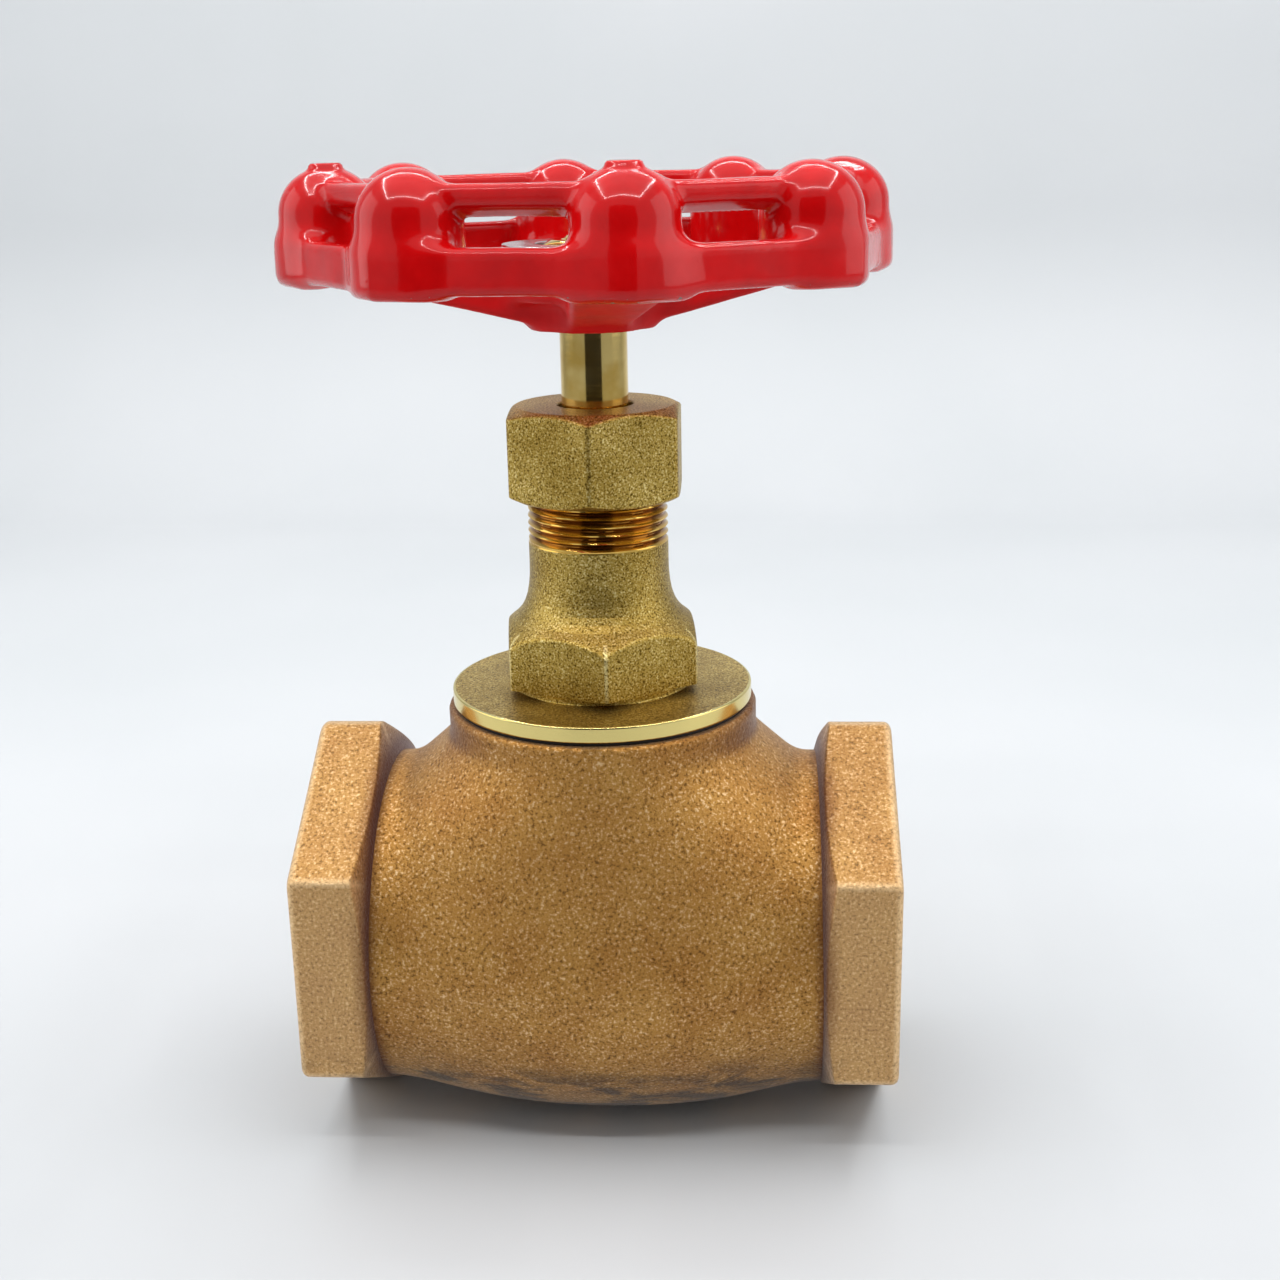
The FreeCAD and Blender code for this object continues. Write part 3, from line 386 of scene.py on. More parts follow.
def makePolished(name="polishedBrass", colour=polish["colour"], deep=polish["deep"], rough=0.08,
                 bumpStrength=0.05):
    material, tree, shader, place = newMaterial(name, Metallic=1.0)
    stretched = addNode(tree, "Mapping", {"Vector": place, "Scale": (0.02, 0.02, 1.0)})
    rings = addNode(tree, "TexNoise", {"Vector": stretched.outputs[0], "Scale": perMm(polish["ring"]),
                                       "Detail": 2.0})
    smear = addNode(tree, "TexNoise", {"Vector": place, "Scale": perMm(polish["smear"]), "Detail": 3.0})
    tone = addNode(tree, "ValToRGB", {"Fac": smear.outputs["Fac"]},
                   stops=[(0.35, colourOf(deep)), (0.6, colourOf(colour))])
    tree.links.new(tone.outputs["Color"], shader.inputs["Base Color"])
    mark = addNode(tree, "MapRange", {"Value": rings.outputs["Fac"], "From Min": 0.3, "From Max": 0.7,
                                      "To Min": rough, "To Max": rough + polish["spread"]})
    tree.links.new(mark.outputs[0], shader.inputs["Roughness"])
    bump = addNode(tree, "Bump", {"Height": rings.outputs["Fac"], "Strength": bumpStrength,
                                  "Distance": polish["bumpDeep"] * mm})
    tree.links.new(bump.outputs[0], shader.inputs["Normal"])
    return material


# Gloss enamel dipped on a casting: thick wet-looking red that rounds every edge, with slow waves from its
# flow, small dust nubs and, along the lower edge, chips down to the grey metal. The underside took a thin
# dull coat.
enamel = {"red": "#C6070A", "deep": "#BB0609", "pale": "#D0090D", "chip": "#6E625C", "wave": 5.0, "nub": 6.0,
          "chipSize": 1.1, "bump": 0.12, "bumpDeep": 0.4}


def makeEnamel():
    material, tree, shader, place = newMaterial("redEnamel", Metallic=0.0, Roughness=0.2,
                                                Specular_IOR_Level=0.2, Coat_Roughness=0.04)
    flow = addNode(tree, "TexNoise", {"Vector": place, "Scale": perMm(enamel["wave"]), "Detail": 3.0})
    tone = addNode(tree, "ValToRGB", {"Fac": flow.outputs["Fac"]},
                   stops=[(0.32, colourOf(enamel["deep"])), (0.52, colourOf(enamel["red"])),
                          (0.75, colourOf(enamel["pale"]))])
    chips = addNode(tree, "TexNoise", {"Vector": place, "Scale": perMm(enamel["chipSize"]), "Detail": 3.0,
                                       "Roughness": 0.6})
    edge = addNode(tree, "Attribute", attribute_name="edge")
    worn = addNode(tree, "Math", {0: edge.outputs["Fac"], 1: chips.outputs["Fac"]}, operation="MULTIPLY")
    mask = addNode(tree, "MapRange", {"Value": worn.outputs[0], "From Min": 0.62, "From Max": 0.66})
    colour = addNode(tree, "Mix", {0: mask.outputs[0], 6: tone.outputs["Color"], 7: colourOf(enamel["chip"])},
                     data_type="RGBA")
    tree.links.new(colour.outputs[2], shader.inputs["Base Color"])
    gloss = addNode(tree, "MapRange", {"Value": chips.outputs["Fac"], "From Min": 0.3, "From Max": 0.7,
                                       "To Min": 0.12, "To Max": 0.2})
    under = addNode(tree, "Attribute", attribute_name="under")
    dulled = addNode(tree, "Math", {0: gloss.outputs[0], 1: under.outputs["Fac"]}, operation="ADD")
    tree.links.new(dulled.outputs[0], shader.inputs["Roughness"])
    film = addNode(tree, "MapRange", {"Value": under.outputs["Fac"], "From Max": 0.4, "To Min": 0.25,
                                      "To Max": 0.0})
    tree.links.new(film.outputs[0], shader.inputs["Coat Weight"])
    nubs = addNode(tree, "TexVoronoi", {"Vector": place, "Scale": perMm(enamel["nub"])})
    nubMask = addNode(tree, "ValToRGB", {"Fac": nubs.outputs["Distance"]}, stops=[(0.0, 1.0), (0.07, 0.0)])
    height = addNode(tree, "Math", {0: flow.outputs["Fac"], 1: nubMask.outputs["Color"]}, operation="ADD")
    bump = addNode(tree, "Bump", {"Height": height.outputs[0], "Strength": enamel["bump"],
                                  "Distance": enamel["bumpDeep"] * mm})
    tree.links.new(bump.outputs[0], shader.inputs["Normal"])
    tree.links.new(bump.outputs[0], shader.inputs["Coat Normal"])
    return material


# Plain soft materials: what is inside is only seen when the valve is taken apart.
def makePlain(name, low, high, grain, roughLow, roughHigh, bumpStrength):
    material, tree, shader, place = newMaterial(name, Metallic=0.0)
    noise = addNode(tree, "TexNoise", {"Vector": place, "Scale": perMm(grain), "Detail": 4.0})
    tone = addNode(tree, "ValToRGB", {"Fac": noise.outputs["Fac"]},
                   stops=[(0.35, colourOf(low)), (0.65, colourOf(high))])
    tree.links.new(tone.outputs["Color"], shader.inputs["Base Color"])
    rough = addNode(tree, "MapRange", {"Value": noise.outputs["Fac"], "To Min": roughLow,
                                       "To Max": roughHigh})
    tree.links.new(rough.outputs[0], shader.inputs["Roughness"])
    bump = addNode(tree, "Bump", {"Height": noise.outputs["Fac"], "Strength": bumpStrength,
                                  "Distance": 0.1 * mm})
    tree.links.new(bump.outputs[0], shader.inputs["Normal"])
    return material


castBronze = makeBronze()
blastedBrass = makeBrass()
polishedBrass = makePolished()
redEnamel = makeEnamel()
rolledAluminium = makePolished("rolledAluminium", "#DADCDD", "#B9BCBE", 0.18, 0.2)
graphitePacking = makePlain("graphitePacking", "#17181A", "#34363A", 0.8, 0.4, 0.7, 0.6)
ptfeDisc = makePlain("ptfe", "#D9D8D0", "#F0EFE9", 2.0, 0.3, 0.45, 0.1)
fibreGasket = makePlain("fibreGasket", "#0C0B0A", "#1E1B18", 0.5, 0.6, 0.85, 0.4)
print("materials made")


casting = {"endFace": 46.5, "hexInner": 35.3, "hexApothem": 28.5, "hexFillet": 1.7, "land": 32.3, "edge": 1.3,
           "endRoot": 25.6, "endWide": 34.2, "faceRing": 33.0, "faceBevel": 0.6, "tuck": 0.9,
           "globe": 30.85, "globeLength": 60.0, "neck": 27.1, "neckLift": 0.9, "collar": 24.15,
           "bendLevel": 34.5, "bendPower": 1.3, "longPower": 1.1, "pearTop": 24.3, "pearLevel": 36.0,
           "pearPower": 1.6, "collarBore": 21.1, "wall": 3.6, "bore": 24.0, "boreFrom": 29.0,
           "chamberEnd": 29.5, "openingLow": 10, "port": 22.4, "leadIn": 1.6, "portDepth": 17.0,
           "pitch": 2.309, "threadDepth": 1.3, "seat": 16.0, "seatLand": 2.6, "seatRise": 1.42,
           "bridge": 22.9, "slant": 5.0, "sheetTop": 31.0, "sheetFoot": -34.0, "lump": 0.12, "lumpSize": 22,
           "lumpTop": 38, "step": 0.82, "quickStep": 1.3, "stainTop": -11, "stainSpan": 7}


def castingParts(x, y, z):
    # globe: ellipse turned round the pipe axis; pear: level ellipses, x/a and y/w, where w narrows as
    # (z/top)^1.6 and a as (1 - (z/bend)^1.3)^1.1 to the collar; neck and collar: cylinders on the two axes
    s = casting
    fromPipe = np.hypot(y, z)
    fromStem = np.hypot(x, y)
    globe = fromPipe - s["globe"] * np.sqrt(np.maximum(1 - (x / s["globeLength"]) ** 2, 0.05))
    up = np.clip(z / s["pearLevel"], 0, 1)
    wide = s["globe"] - (s["globe"] - s["pearTop"]) * up ** s["pearPower"]
    fall = 1 - (np.maximum(z, 0) / s["bendLevel"]) ** s["bendPower"]
    long = s["collar"] + (s["globeLength"] - s["collar"]) * np.maximum(fall, 0) ** s["longPower"]
    size = np.maximum(np.sqrt((x / long) ** 2 + (y / wide) ** 2), 0.05)
    pear = (size - 1) * size / np.maximum(np.sqrt((x / long ** 2) ** 2 + (y / wide ** 2) ** 2), 1e-3)
    globe = softMin(globe, softMax(pear, -z - 1, 4.0), 2.0)
    neck = np.hypot(y, z - s["neckLift"]) - s["neck"]
    collar = np.maximum(fromStem - s["collar"], -z)
    return globe, neck, collar


def castingField(x, y, z):
    # outside: the parts blended, capped by the collar's top and the floor; less the chamber, bores and
    # opening, except for the partition: a sheet along four points, with a ring and a hole for the seat
    s = casting
    globe, neck, collar = castingParts(x, y, z)
    outer = softMin(softMin(globe, neck, 1.6), collar, 2.4)
    outer = outer + s["lump"] * unevenness(x, y, z, s["lumpSize"], 4) * np.clip((s["lumpTop"] - z) / 3, 0, 1)
    outer = softMax(outer, np.maximum(z - collarTop, 0.03 - bellyHeight - z), 0.5)
    outer = np.maximum(outer, np.abs(x) - s["hexInner"] - s["tuck"])
    bulge = np.sqrt(np.maximum(1 - (x / s["globeLength"]) ** 2, 0.05))
    cavity = np.hypot(y, z) - (s["globe"] - s["wall"]) * bulge
    cavity = np.maximum(cavity, np.abs(x) - s["chamberEnd"])
    bores = np.maximum(np.hypot(y, z + bellyHeight - pipeHeight) - s["bore"], s["boreFrom"] - np.abs(x))
    opening = np.maximum(np.hypot(x, y) - s["collarBore"], s["openingLow"] - z)
    hollow = np.minimum(softMin(cavity, opening, 1.0), bores)
    middle = -s["wall"] / 2
    corners = [(-s["bridge"] - s["slant"], s["sheetTop"]), (-s["bridge"], middle), (s["bridge"], middle),
               (s["bridge"] + s["slant"], s["sheetFoot"])]
    sheet = 1e3
    for (x0, z0), (x1, z1) in zip(corners, corners[1:]):
        length2 = (x1 - x0) ** 2 + (z1 - z0) ** 2
        along = np.clip(((x - x0) * (x1 - x0) + (z - z0) * (z1 - z0)) / length2, 0, 1)
        sheet = np.minimum(sheet, np.hypot(x - x0 - along * (x1 - x0), z - z0 - along * (z1 - z0)))
    sheet = sheet - s["wall"] / 2
    ringTop = roundedBox(np.hypot(x, y), z - (s["seatRise"] - s["wall"]) / 2, s["seat"] + s["seatLand"],
                         (s["seatRise"] + s["wall"]) / 2, 0.4)
    partition = softMax(softMin(sheet, ringTop, 1.0), s["seat"] - np.hypot(x, y), 0.6)
    hollow = softMax(hollow, -partition, 0.8)
    return softMax(outer, -hollow, 0.5)


step = casting["step"]
points, faces = fieldSkin(castingField, (-37.5, -33.5, -33.5), (37.5, 33.5, 40.5), step)
globe, neck, collar = castingParts(*points.T)
sideways = np.clip(np.abs(points[:, 0]) / np.maximum(np.hypot(points[:, 0], points[:, 1]), 1), 0, 1)
# painted shade in the creases where globe and neck meet the collar at the sides, and where the globe meets
# the hexagon ends
creaseShade = 0.7 * np.exp(-((np.minimum(globe, neck) - collar) / 0.6) ** 2) * sideways ** 3 * (points[:, 2] > 15)
creaseShade = np.maximum(creaseShade, np.clip((np.abs(points[:, 0]) - 33.2) / 2.2, 0, 1) ** 1.3)
stain = np.clip((casting["stainTop"] - points[:, 2]) / casting["stainSpan"], 0, 1)
globePoints = points + (0, 0, bellyHeight)
globeMasks = {"creaseShade": creaseShade, "stain": stain, "ridge": np.zeros(len(points))}


def endProfile():
    # section of one hexagon end, radius and distance along the pipe, from the back round to the bore
    s = casting
    face, back = s["endFace"], s["endFace"] - s["portDepth"]
    bevel = s["faceBevel"]
    corners = [(s["endRoot"], back), (s["endRoot"], s["hexInner"] - s["tuck"]),
               (s["endWide"], s["hexInner"] + 1.7), (s["endWide"], face - bevel),
               (s["faceRing"] - bevel, face), (s["port"] + s["leadIn"], face),
               (s["port"], face - s["leadIn"]), (s["port"], back)]
    return evenPath(roundedPath(corners, 0.5), 0.3)


def endShape(radius, along, angles):
    # outside: the smaller of the profile and the hexagon, cut by the lands; inside: the pipe thread
    s = casting
    reach = polygonReach(angles, 6, s["hexApothem"], s["hexFillet"], 90)
    reach = softMin(reach, s["land"] / np.maximum(np.abs(np.sin(angles)), 0.05), 0.5)
    fromFace = np.clip(s["endFace"] - along, 0, s["edge"])
    roundOff = s["edge"] - np.sqrt(s["edge"] ** 2 - (s["edge"] - fromFace) ** 2)
    shaped = softMin(radius, reach - roundOff, 0.8)
    low = s["endFace"] - s["portDepth"]
    cut = threadCut(along, angles, s["pitch"], s["threadDepth"], low + 1,
                    s["endFace"] - s["leadIn"] - 0.2, 1.5)
    return np.where(radius < s["port"] + 0.01, radius + cut, np.where(radius > 25.7, shaped, radius))


allPoints, allFaces = [globePoints], [faces]
masks = {key: [value] for key, value in globeMasks.items()}
theta = spokesOf(240, 6, 0.72, 90)
for flip in (1, -1):
    points, faces, radius, along, angles = turnedSkin(endProfile(), theta, endShape, "x", flip)
    points = points + (0, 0, pipeHeight)
    allFaces.append((faces if flip > 0 else faces[:, ::-1]) + sum(len(p) for p in allPoints))
    allPoints.append(points)
    # painted shade in the hexagons' inner corner against the globe, and lighter painted shade inside the port
    inner = np.clip((casting["hexInner"] + 2.2 - along) / 2.2, 0, 1) * (radius > 25)
    masks["creaseShade"].append(np.clip(inner * np.clip((31.5 - radius) / 4, 0, 1) + (radius < 23) * 0.35, 0, 1))
    below = casting["stainTop"] - (points[:, 2] - pipeHeight)
    masks["stain"].append(0.5 * np.clip(below / casting["stainSpan"], 0, 1))
    rim = np.exp(-((casting["endFace"] - 0.5 - along) / 0.8) ** 2) * (radius > 27)
    lines = np.maximum(ridgeOf(angles, radius, 6, 90, 0.9), rim)
    upright = 0.16 + 0.26 * (np.abs(np.sin(angles)) < 0.5)
    masks["ridge"].append(np.maximum(upright, 0.9 * lines) * (radius > 27))
addPiece("bodyCasting", np.concatenate(allPoints), np.concatenate(allFaces), castBronze, "housing", ["body"],
         {key: np.concatenate(value) for key, value in masks.items()}, 50)


bonnet = {"flange": 24.0, "flangeLow": 39.3, "flangeTop": 41.8, "spigot": 21.0, "spigotLow": 29.3,
          "recess": 17.0, "recessTop": 32.0, "step": 14.4, "hexLow": 43.1, "hexWide": 17.6, "hexEnd": 54,
          "apothem": 14.7, "fillet": 0.9, "turned": 7.0, "neck": 11.0, "threadLow": 65.0, "top": 79.5,
          "pitch": 1.25, "depth": 0.62, "chamber": 8.2, "bore": 6.66}


def bonnetProfile():
    # up the outside from the spigot to the neck's top and down the bore; the neck flares out to the hexagon
    s = bonnet
    flare = [(s["hexWide"], 48.2), (16.9, 49.7), (15.9, 51.1), (14.5, 52.3), (13.4, 53.2), (12.55, 54.2),
             (11.95, 55.3), (11.5, 56.6), (11.2, 58.2), (11.03, 60.0), (s["neck"], 62.0)]
    seat = heightsOf("packing_washer")[0] - bellyHeight
    low = [(s["recess"], s["spigotLow"]), (s["spigot"], s["spigotLow"]), (s["spigot"], s["flangeLow"]),
           (s["flange"], s["flangeLow"]), (s["flange"], s["flangeTop"]), (s["step"], s["flangeTop"] + 0.15),
           (s["step"], s["hexLow"]), (s["hexWide"], s["hexLow"])]
    high = [(s["neck"], s["threadLow"] - 0.05), (s["neck"], s["threadLow"] + 0.05), (s["neck"], s["top"]),
            (s["chamber"], s["top"])]
    inside = [(s["chamber"], seat), (s["bore"], seat), (s["bore"], s["recessTop"]),
              (s["recess"], s["recessTop"])]
    return evenPath(roundedPath(low + flare + high + inside, 0.32), 0.2)


def bonnetShape(radius, along, angles):
    # the hexagon is the smaller of the profile and the polygon; the gland thread is cut into the neck
    s = bonnet
    reach = polygonReach(angles, 6, s["apothem"], s["fillet"], 270 + s["turned"])
    onHexagon = (along > s["hexLow"] - 0.2) & (along < s["hexEnd"]) & (radius > s["step"] + 0.1)
    shaped = np.where(onHexagon, softMin(radius, reach, 0.5), radius)
    cut = threadCut(along, angles, s["pitch"], s["depth"], s["threadLow"], s["top"] - 0.3, 0.5)
    outside = (radius > s["neck"] - 0.02) & (radius < s["neck"] + 0.02) & (along > s["threadLow"])
    return np.where(outside, shaped - cut, shaped)


theta = spokesOf(216, 6, 0.7, 270 + bonnet["turned"])
points, faces, radius, along, angles = turnedSkin(bonnetProfile(), theta, bonnetShape)
machined = np.clip((radius - 23.35) / 0.5, 0, 1) * (along > bonnet["flangeLow"] - 0.1)
machined = np.maximum(machined, (along > bonnet["top"] - 0.2) * 1.0)
thread = ((along > bonnet["threadLow"]) & (radius > 9.8) & (radius < 11.1)) * 1.0
onHexagon = (along > bonnet["hexLow"] - 0.2) & (along < bonnet["hexEnd"]) & (radius > bonnet["step"] + 0.5)
ridge = ridgeOf(angles, radius, 6, 270 + bonnet["turned"], 0.5) * onHexagon
# groove: share of the thread's depth, used for painted shade towards each groove's root
addPiece("bonnetForging", points + (0, 0, bellyHeight), faces, blastedBrass, "housing", ["bonnet"],
         {"machined": machined, "thread": thread, "ridge": ridge,
                          "groove": thread * np.clip((bonnet["neck"] - radius) / bonnet["depth"], 0, 1)})

gasket = {"inner": 21.15, "outer": 23.5, "round": 0.15}
low, high = heightsOf("bonnet_gasket")
path = [(gasket["inner"], low), (gasket["outer"], low), (gasket["outer"], high), (gasket["inner"], high)]
points, faces = turnedSkin(evenPath(roundedPath(path, gasket["round"]), 1), spokesOf(160))[:2]
addPiece("bonnetGasket", points, faces, fibreGasket, "housing", ["bonnet_gasket"])

nut = {"apothem": 13.0, "fillet": 1.1, "hole": 5.85, "bore": 11.1, "web": 3.0, "topFlat": 12.3, "slope": 0.5,
       "bottomFlat": 12.9}


def nutProfile():
    # up the outside between the two chamfers, then down the stem's hole, under the web and down the bore
    s = nut
    low, high = heightsOf("gland_nut")
    wide = s["apothem"] / math.cos(math.pi / 6) + 0.4
    corners = [(s["bore"], low), (s["bottomFlat"], low), (wide, low + (wide - s["bottomFlat"]) * s["slope"]),
               (wide, high - (wide - s["topFlat"]) * s["slope"]), (s["topFlat"], high), (s["hole"], high),
               (s["hole"], high - s["web"]), (s["bore"], high - s["web"])]
    return evenPath(roundedPath(corners, 0.35), 0.22)


def nutShape(radius, along, angles):
    # the smaller of the profile and the polygon, outside the bore
    reach = polygonReach(angles, 6, nut["apothem"], nut["fillet"], 270)
    return np.where(radius > nut["bore"] + 0.3, softMin(radius, reach, 0.45), radius)


points, faces, radius, along, angles = turnedSkin(nutProfile(), spokesOf(216, 6, 0.7, 270), nutShape)
ridge = ridgeOf(angles, radius, 6, 270, 0.5) * (radius > nut["bore"] + 1.5)
plain = np.zeros(len(radius))
addPiece("glandNut", points, faces, blastedBrass, "housing", ["gland_nut"],
         {"machined": 0.6 * ((radius < 11.3) & (along < along.max() - 1)), "thread": plain, "groove": plain,
          "ridge": 0.6 * ridge})


spindle = {"radius": 5.18, "thread": 6.6, "head": 8.4, "headThick": 3.0, "square": 8.0, "squareTurned": 56.6,
           "tip": 4.0, "pitch": 3.0, "threadDepth": 1.3, "tipPitch": 1.25, "tipDepth": 0.45, "chamfer": 0.4,
           "centre": 1.2, "centreDepth": 0.8}
low, high = heightsOf("stem")
packingLow = heightsOf("packing_washer")[0]
hubLow = heightsOf("handwheel")[0]
wheelNutLow, wheelNutHigh = heightsOf("wheel_nut")
threadLow = heightsOf("disc_lock_nut")[1] + 0.5
threadHigh = packingLow - 3.5


def stemProfile():
    # from the axis under the head, up the thread and the shank to the tip and its centre hole
    s = spindle
    headTop = low + s["headThick"]
    corners = [(0, low), (s["head"], low), (s["head"], headTop), (s["radius"], headTop),
               (s["radius"], threadLow), (s["thread"], threadLow + 0.6), (s["thread"], threadHigh),
               (s["radius"], threadHigh + 0.4), (s["radius"], wheelNutLow - 0.8),
               (s["tip"], wheelNutLow - 0.7), (s["tip"], high - s["chamfer"]),
               (s["tip"] - s["chamfer"], high), (s["centre"], high), (0, high - s["centreDepth"])]
    path = roundedPath(corners[1:-1], 0.12, 3)
    return evenPath(np.vstack([[corners[0]], path, [corners[-1]]]), 0.35)[:-1]


def stemShape(radius, along, angles):
    # the square in the hub is the smaller of the profile and the polygon; both threads are cut as grooves
    s = spindle
    reach = polygonReach(angles, 4, s["square"] / 2, 0.3, s["squareTurned"])
    square = (along > hubLow) & (along < wheelNutLow - 0.6)
    shaped = np.where(square, np.minimum(radius, reach), radius)
    cut = threadCut(along, angles, s["pitch"], s["threadDepth"], threadLow, threadHigh, 1.5)
    shaped = np.where(radius > s["radius"] + 1.0, np.where(along > low + 3.5, shaped - cut, shaped), shaped)
    fine = threadCut(along, angles, s["tipPitch"], s["tipDepth"], wheelNutLow - 0.5, high - 0.2, 0.4)
    return np.where((along > wheelNutLow - 0.5) & (radius > 3.8), shaped - fine, shaped)


points, faces = turnedSkin(stemProfile(), spokesOf(128), stemShape)[:2]
addPiece("stemTurning", points, faces, polishedBrass, "spindle", ["stem"])

wheelNut = {"apothem": 6.5, "fillet": 0.35, "flat": 6.1, "hole": 4.1, "wide": 7.6, "turned": 20}


def wheelNutShape(radius, along, angles):
    # the smaller of the profile and the polygon, outside the hole
    reach = polygonReach(angles, 6, wheelNut["apothem"], wheelNut["fillet"], wheelNut["turned"])
    return np.where(radius > wheelNut["hole"] + 0.8, softMin(radius, reach, 0.3), radius)


s = wheelNut
path = [(s["hole"], wheelNutLow), (s["flat"] + 0.2, wheelNutLow), (s["wide"], wheelNutLow + 0.7),
        (s["wide"], wheelNutHigh - 0.8), (s["flat"], wheelNutHigh), (s["hole"] + 0.5, wheelNutHigh),
        (s["hole"], wheelNutHigh - 0.5)]
theta = spokesOf(144, 6, 0.6, s["turned"])
points, faces = turnedSkin(evenPath(roundedPath(path, 0.2), 0.3), theta, wheelNutShape)[:2]
addPiece("wheelNut", points, faces, polishedBrass, "spindle", ["wheel_nut"])

plate = {"hole": 4.1, "cup": 9.05, "rim": 13.45, "thick": 0.5, "dip": 4.8}
plateLow, plateHigh = heightsOf("nameplate")
s = plate
inner = s["cup"] - s["thick"]
path = [(s["hole"], plateLow), (s["cup"], plateLow), (s["cup"], plateLow + s["dip"]),
        (s["rim"], plateLow + s["dip"]), (s["rim"], plateHigh), (inner, plateHigh),
        (inner, plateLow + s["thick"]), (s["hole"], plateLow + s["thick"])]
points, faces = turnedSkin(evenPath(roundedPath(path, 0.22, 4), 0.4), spokesOf(144))[:2]
addPiece("wheelPlate", points, faces, rolledAluminium, "spindle", ["nameplate"])


wheel = {"turned": 11.6, "tip": 45.9, "lobe": 7.35, "lobeTop": 24.6, "dome": 0.94, "draft": 0.012,
         "stub": 24.9, "stubLevel": 22.5, "stubHalf": 2.5, "lobeHollow": 4.8, "lobeRoof": 2.6,
         "bandCorner": 46.0, "bandLow": 8.3, "bandHigh": 14.4, "bandWall": 3.2, "barCorner": 41.6,
         "barLow": 19.4, "barHigh": 22.3, "barWall": 3.4, "barLean": 1.9, "hub": 9.4, "hubHalf": 4.5,
         "headLow": 4.6, "hubTop": 12.2, "hubHead": 14.0, "recess": 9.2, "dip": 4.8, "square": 8.1,
         "armFrom": 8, "armSpan": 32, "armInner": 4, "armOuter": 40.5, "armNarrow": 4.6, "armWide": 7.6,
         "armStart": 4.0, "armEnd": 10.2, "armThickStart": 3.3, "armThickEnd": 1.3, "lump": 0.05,
         "lumpSize": 9, "step": 0.56, "quickStep": 0.9}


def foldedAngle(angle, share):  # angle measured from the nearest of equally spaced directions
    return np.mod(angle + share / 2, share) - share / 2


def wheelField(x, y, z):
    # union of band, bar, lobe, hub and arm, each blended into the next as thick enamel does, less the hollows
    s = wheel
    z = z - hubLow
    reach = np.hypot(x, y)
    angle = np.arctan2(x, -y) - math.radians(s["turned"])
    eighth = foldedAngle(angle, math.pi / 4)
    out, across = reach * np.cos(eighth), np.abs(reach * np.sin(eighth))
    side = out * math.cos(math.pi / 8) + across * math.sin(math.pi / 8)
    flat = math.cos(math.pi / 8)

    def belt(corner, wall, low, high, radius):
        middle = corner * flat - wall / 2
        return roundedBox(side - middle, z - (low + high) / 2, wall / 2, (high - low) / 2, radius)

    band = belt(s["bandCorner"], s["bandWall"], s["bandLow"], s["bandHigh"], 1.1)
    bar = belt(s["barCorner"], s["barWall"], s["barLow"] - s["barLean"], s["barHigh"], 1.2)
    inward = s["barCorner"] * flat - side
    bar = softMax(bar, 0.9 * (s["barLow"] - s["barLean"] * inward / s["barWall"] - z), 0.8)
    fromLobe = np.hypot(out - (s["tip"] - s["lobe"]), across)
    domeStart = s["lobeTop"] - s["lobe"] * s["dome"]
    dome = np.hypot(fromLobe, np.maximum(z - domeStart, 0) / s["dome"]) - s["lobe"]
    dome = dome + s["draft"] * np.maximum(z - 10, 0)
    lobe = softMax(dome, s["bandLow"] - z, 1.2)
    isStub = (np.abs(angle) < 0.3) | (np.abs(angle + math.pi / 2) < 0.3)
    stub = roundedBox(fromLobe, z - s["stubLevel"], s["stubHalf"], s["stub"] - s["stubLevel"], 0.5)
    stub = np.where(isStub, stub, 9.0)
    quarter = foldedAngle(angle, math.pi / 2)
    armOut, armAcross = reach * np.cos(quarter), reach * np.sin(quarter)
    share = np.clip((armOut - s["armFrom"]) / s["armSpan"], 0, 1)
    middle = s["armStart"] + (s["armEnd"] - s["armStart"]) * share
    thick = s["armThickStart"] + (s["armThickEnd"] - s["armThickStart"]) * share
    width = s["armNarrow"] + (s["armWide"] - s["armNarrow"]) * share
    arm = roundedBox(armAcross, z - middle, width, thick, 1.2)
    arm = np.maximum(arm, np.maximum(s["armInner"] - armOut, side - s["armOuter"]))
    hub = roundedBox(reach, z - s["hubHalf"], s["hub"], s["hubHalf"], 0.9)
    headMiddle, headHalf = (s["headLow"] + s["hubTop"]) / 2, (s["hubTop"] - s["headLow"]) / 2
    head = roundedBox(reach, z - headMiddle, s["hubHead"], headHalf, 1.2)
    rim = softMin(softMin(band, lobe, 3.2), bar, 1.3)
    rim = softMin(rim, stub, 0.6)
    hubs = softMin(hub, head, 2.2)
    whole = softMin(softMin(rim, arm, 2.4), hubs, 2.6)
    whole = whole + s["lump"] * unevenness(x, y, z, s["lumpSize"], 7)
    roof = s["lobeTop"] - s["lobeRoof"] - s["lobeHollow"]
    hollow = np.hypot(fromLobe, np.maximum(z - roof, 0)) - s["lobeHollow"]
    hollow = softMin(hollow, roundedBox(reach, z - s["hubTop"] - 1, s["recess"], s["dip"] + 1, 0.3), 0.2)
    turn = math.radians(s["turned"])
    along, beside = x * math.cos(turn) + y * math.sin(turn), y * math.cos(turn) - x * math.sin(turn)
    hollow = np.minimum(hollow, np.maximum(np.abs(along), np.abs(beside)) - s["square"] / 2)
    whole = softMax(whole, -hollow, 0.6)
    return np.maximum(whole, -z + 0.02)


step = wheel["step"]
points, faces = fieldSkin(wheelField, (-47.5, -47.5, hubLow - 1.5), (47.5, 47.5, hubLow + 26.5), step, 2)
level = points[:, 2] - hubLow
reach = np.hypot(points[:, 0], points[:, 1])
edge = np.clip((wheel["bandLow"] + 0.7 - level) / 0.6, 0, 1) * (reach > 36)
edge = edge + 0.6 * (level < 0.6) * (reach > 8.5)
under = 0.4 * np.clip((7.5 - level) / 1.5, 0, 1) * np.clip((41 - reach) / 2, 0, 1)
addPiece("handwheelCasting", points, faces, redEnamel, "spindle", ["handwheel"],
         {"edge": edge, "under": under}, 60)


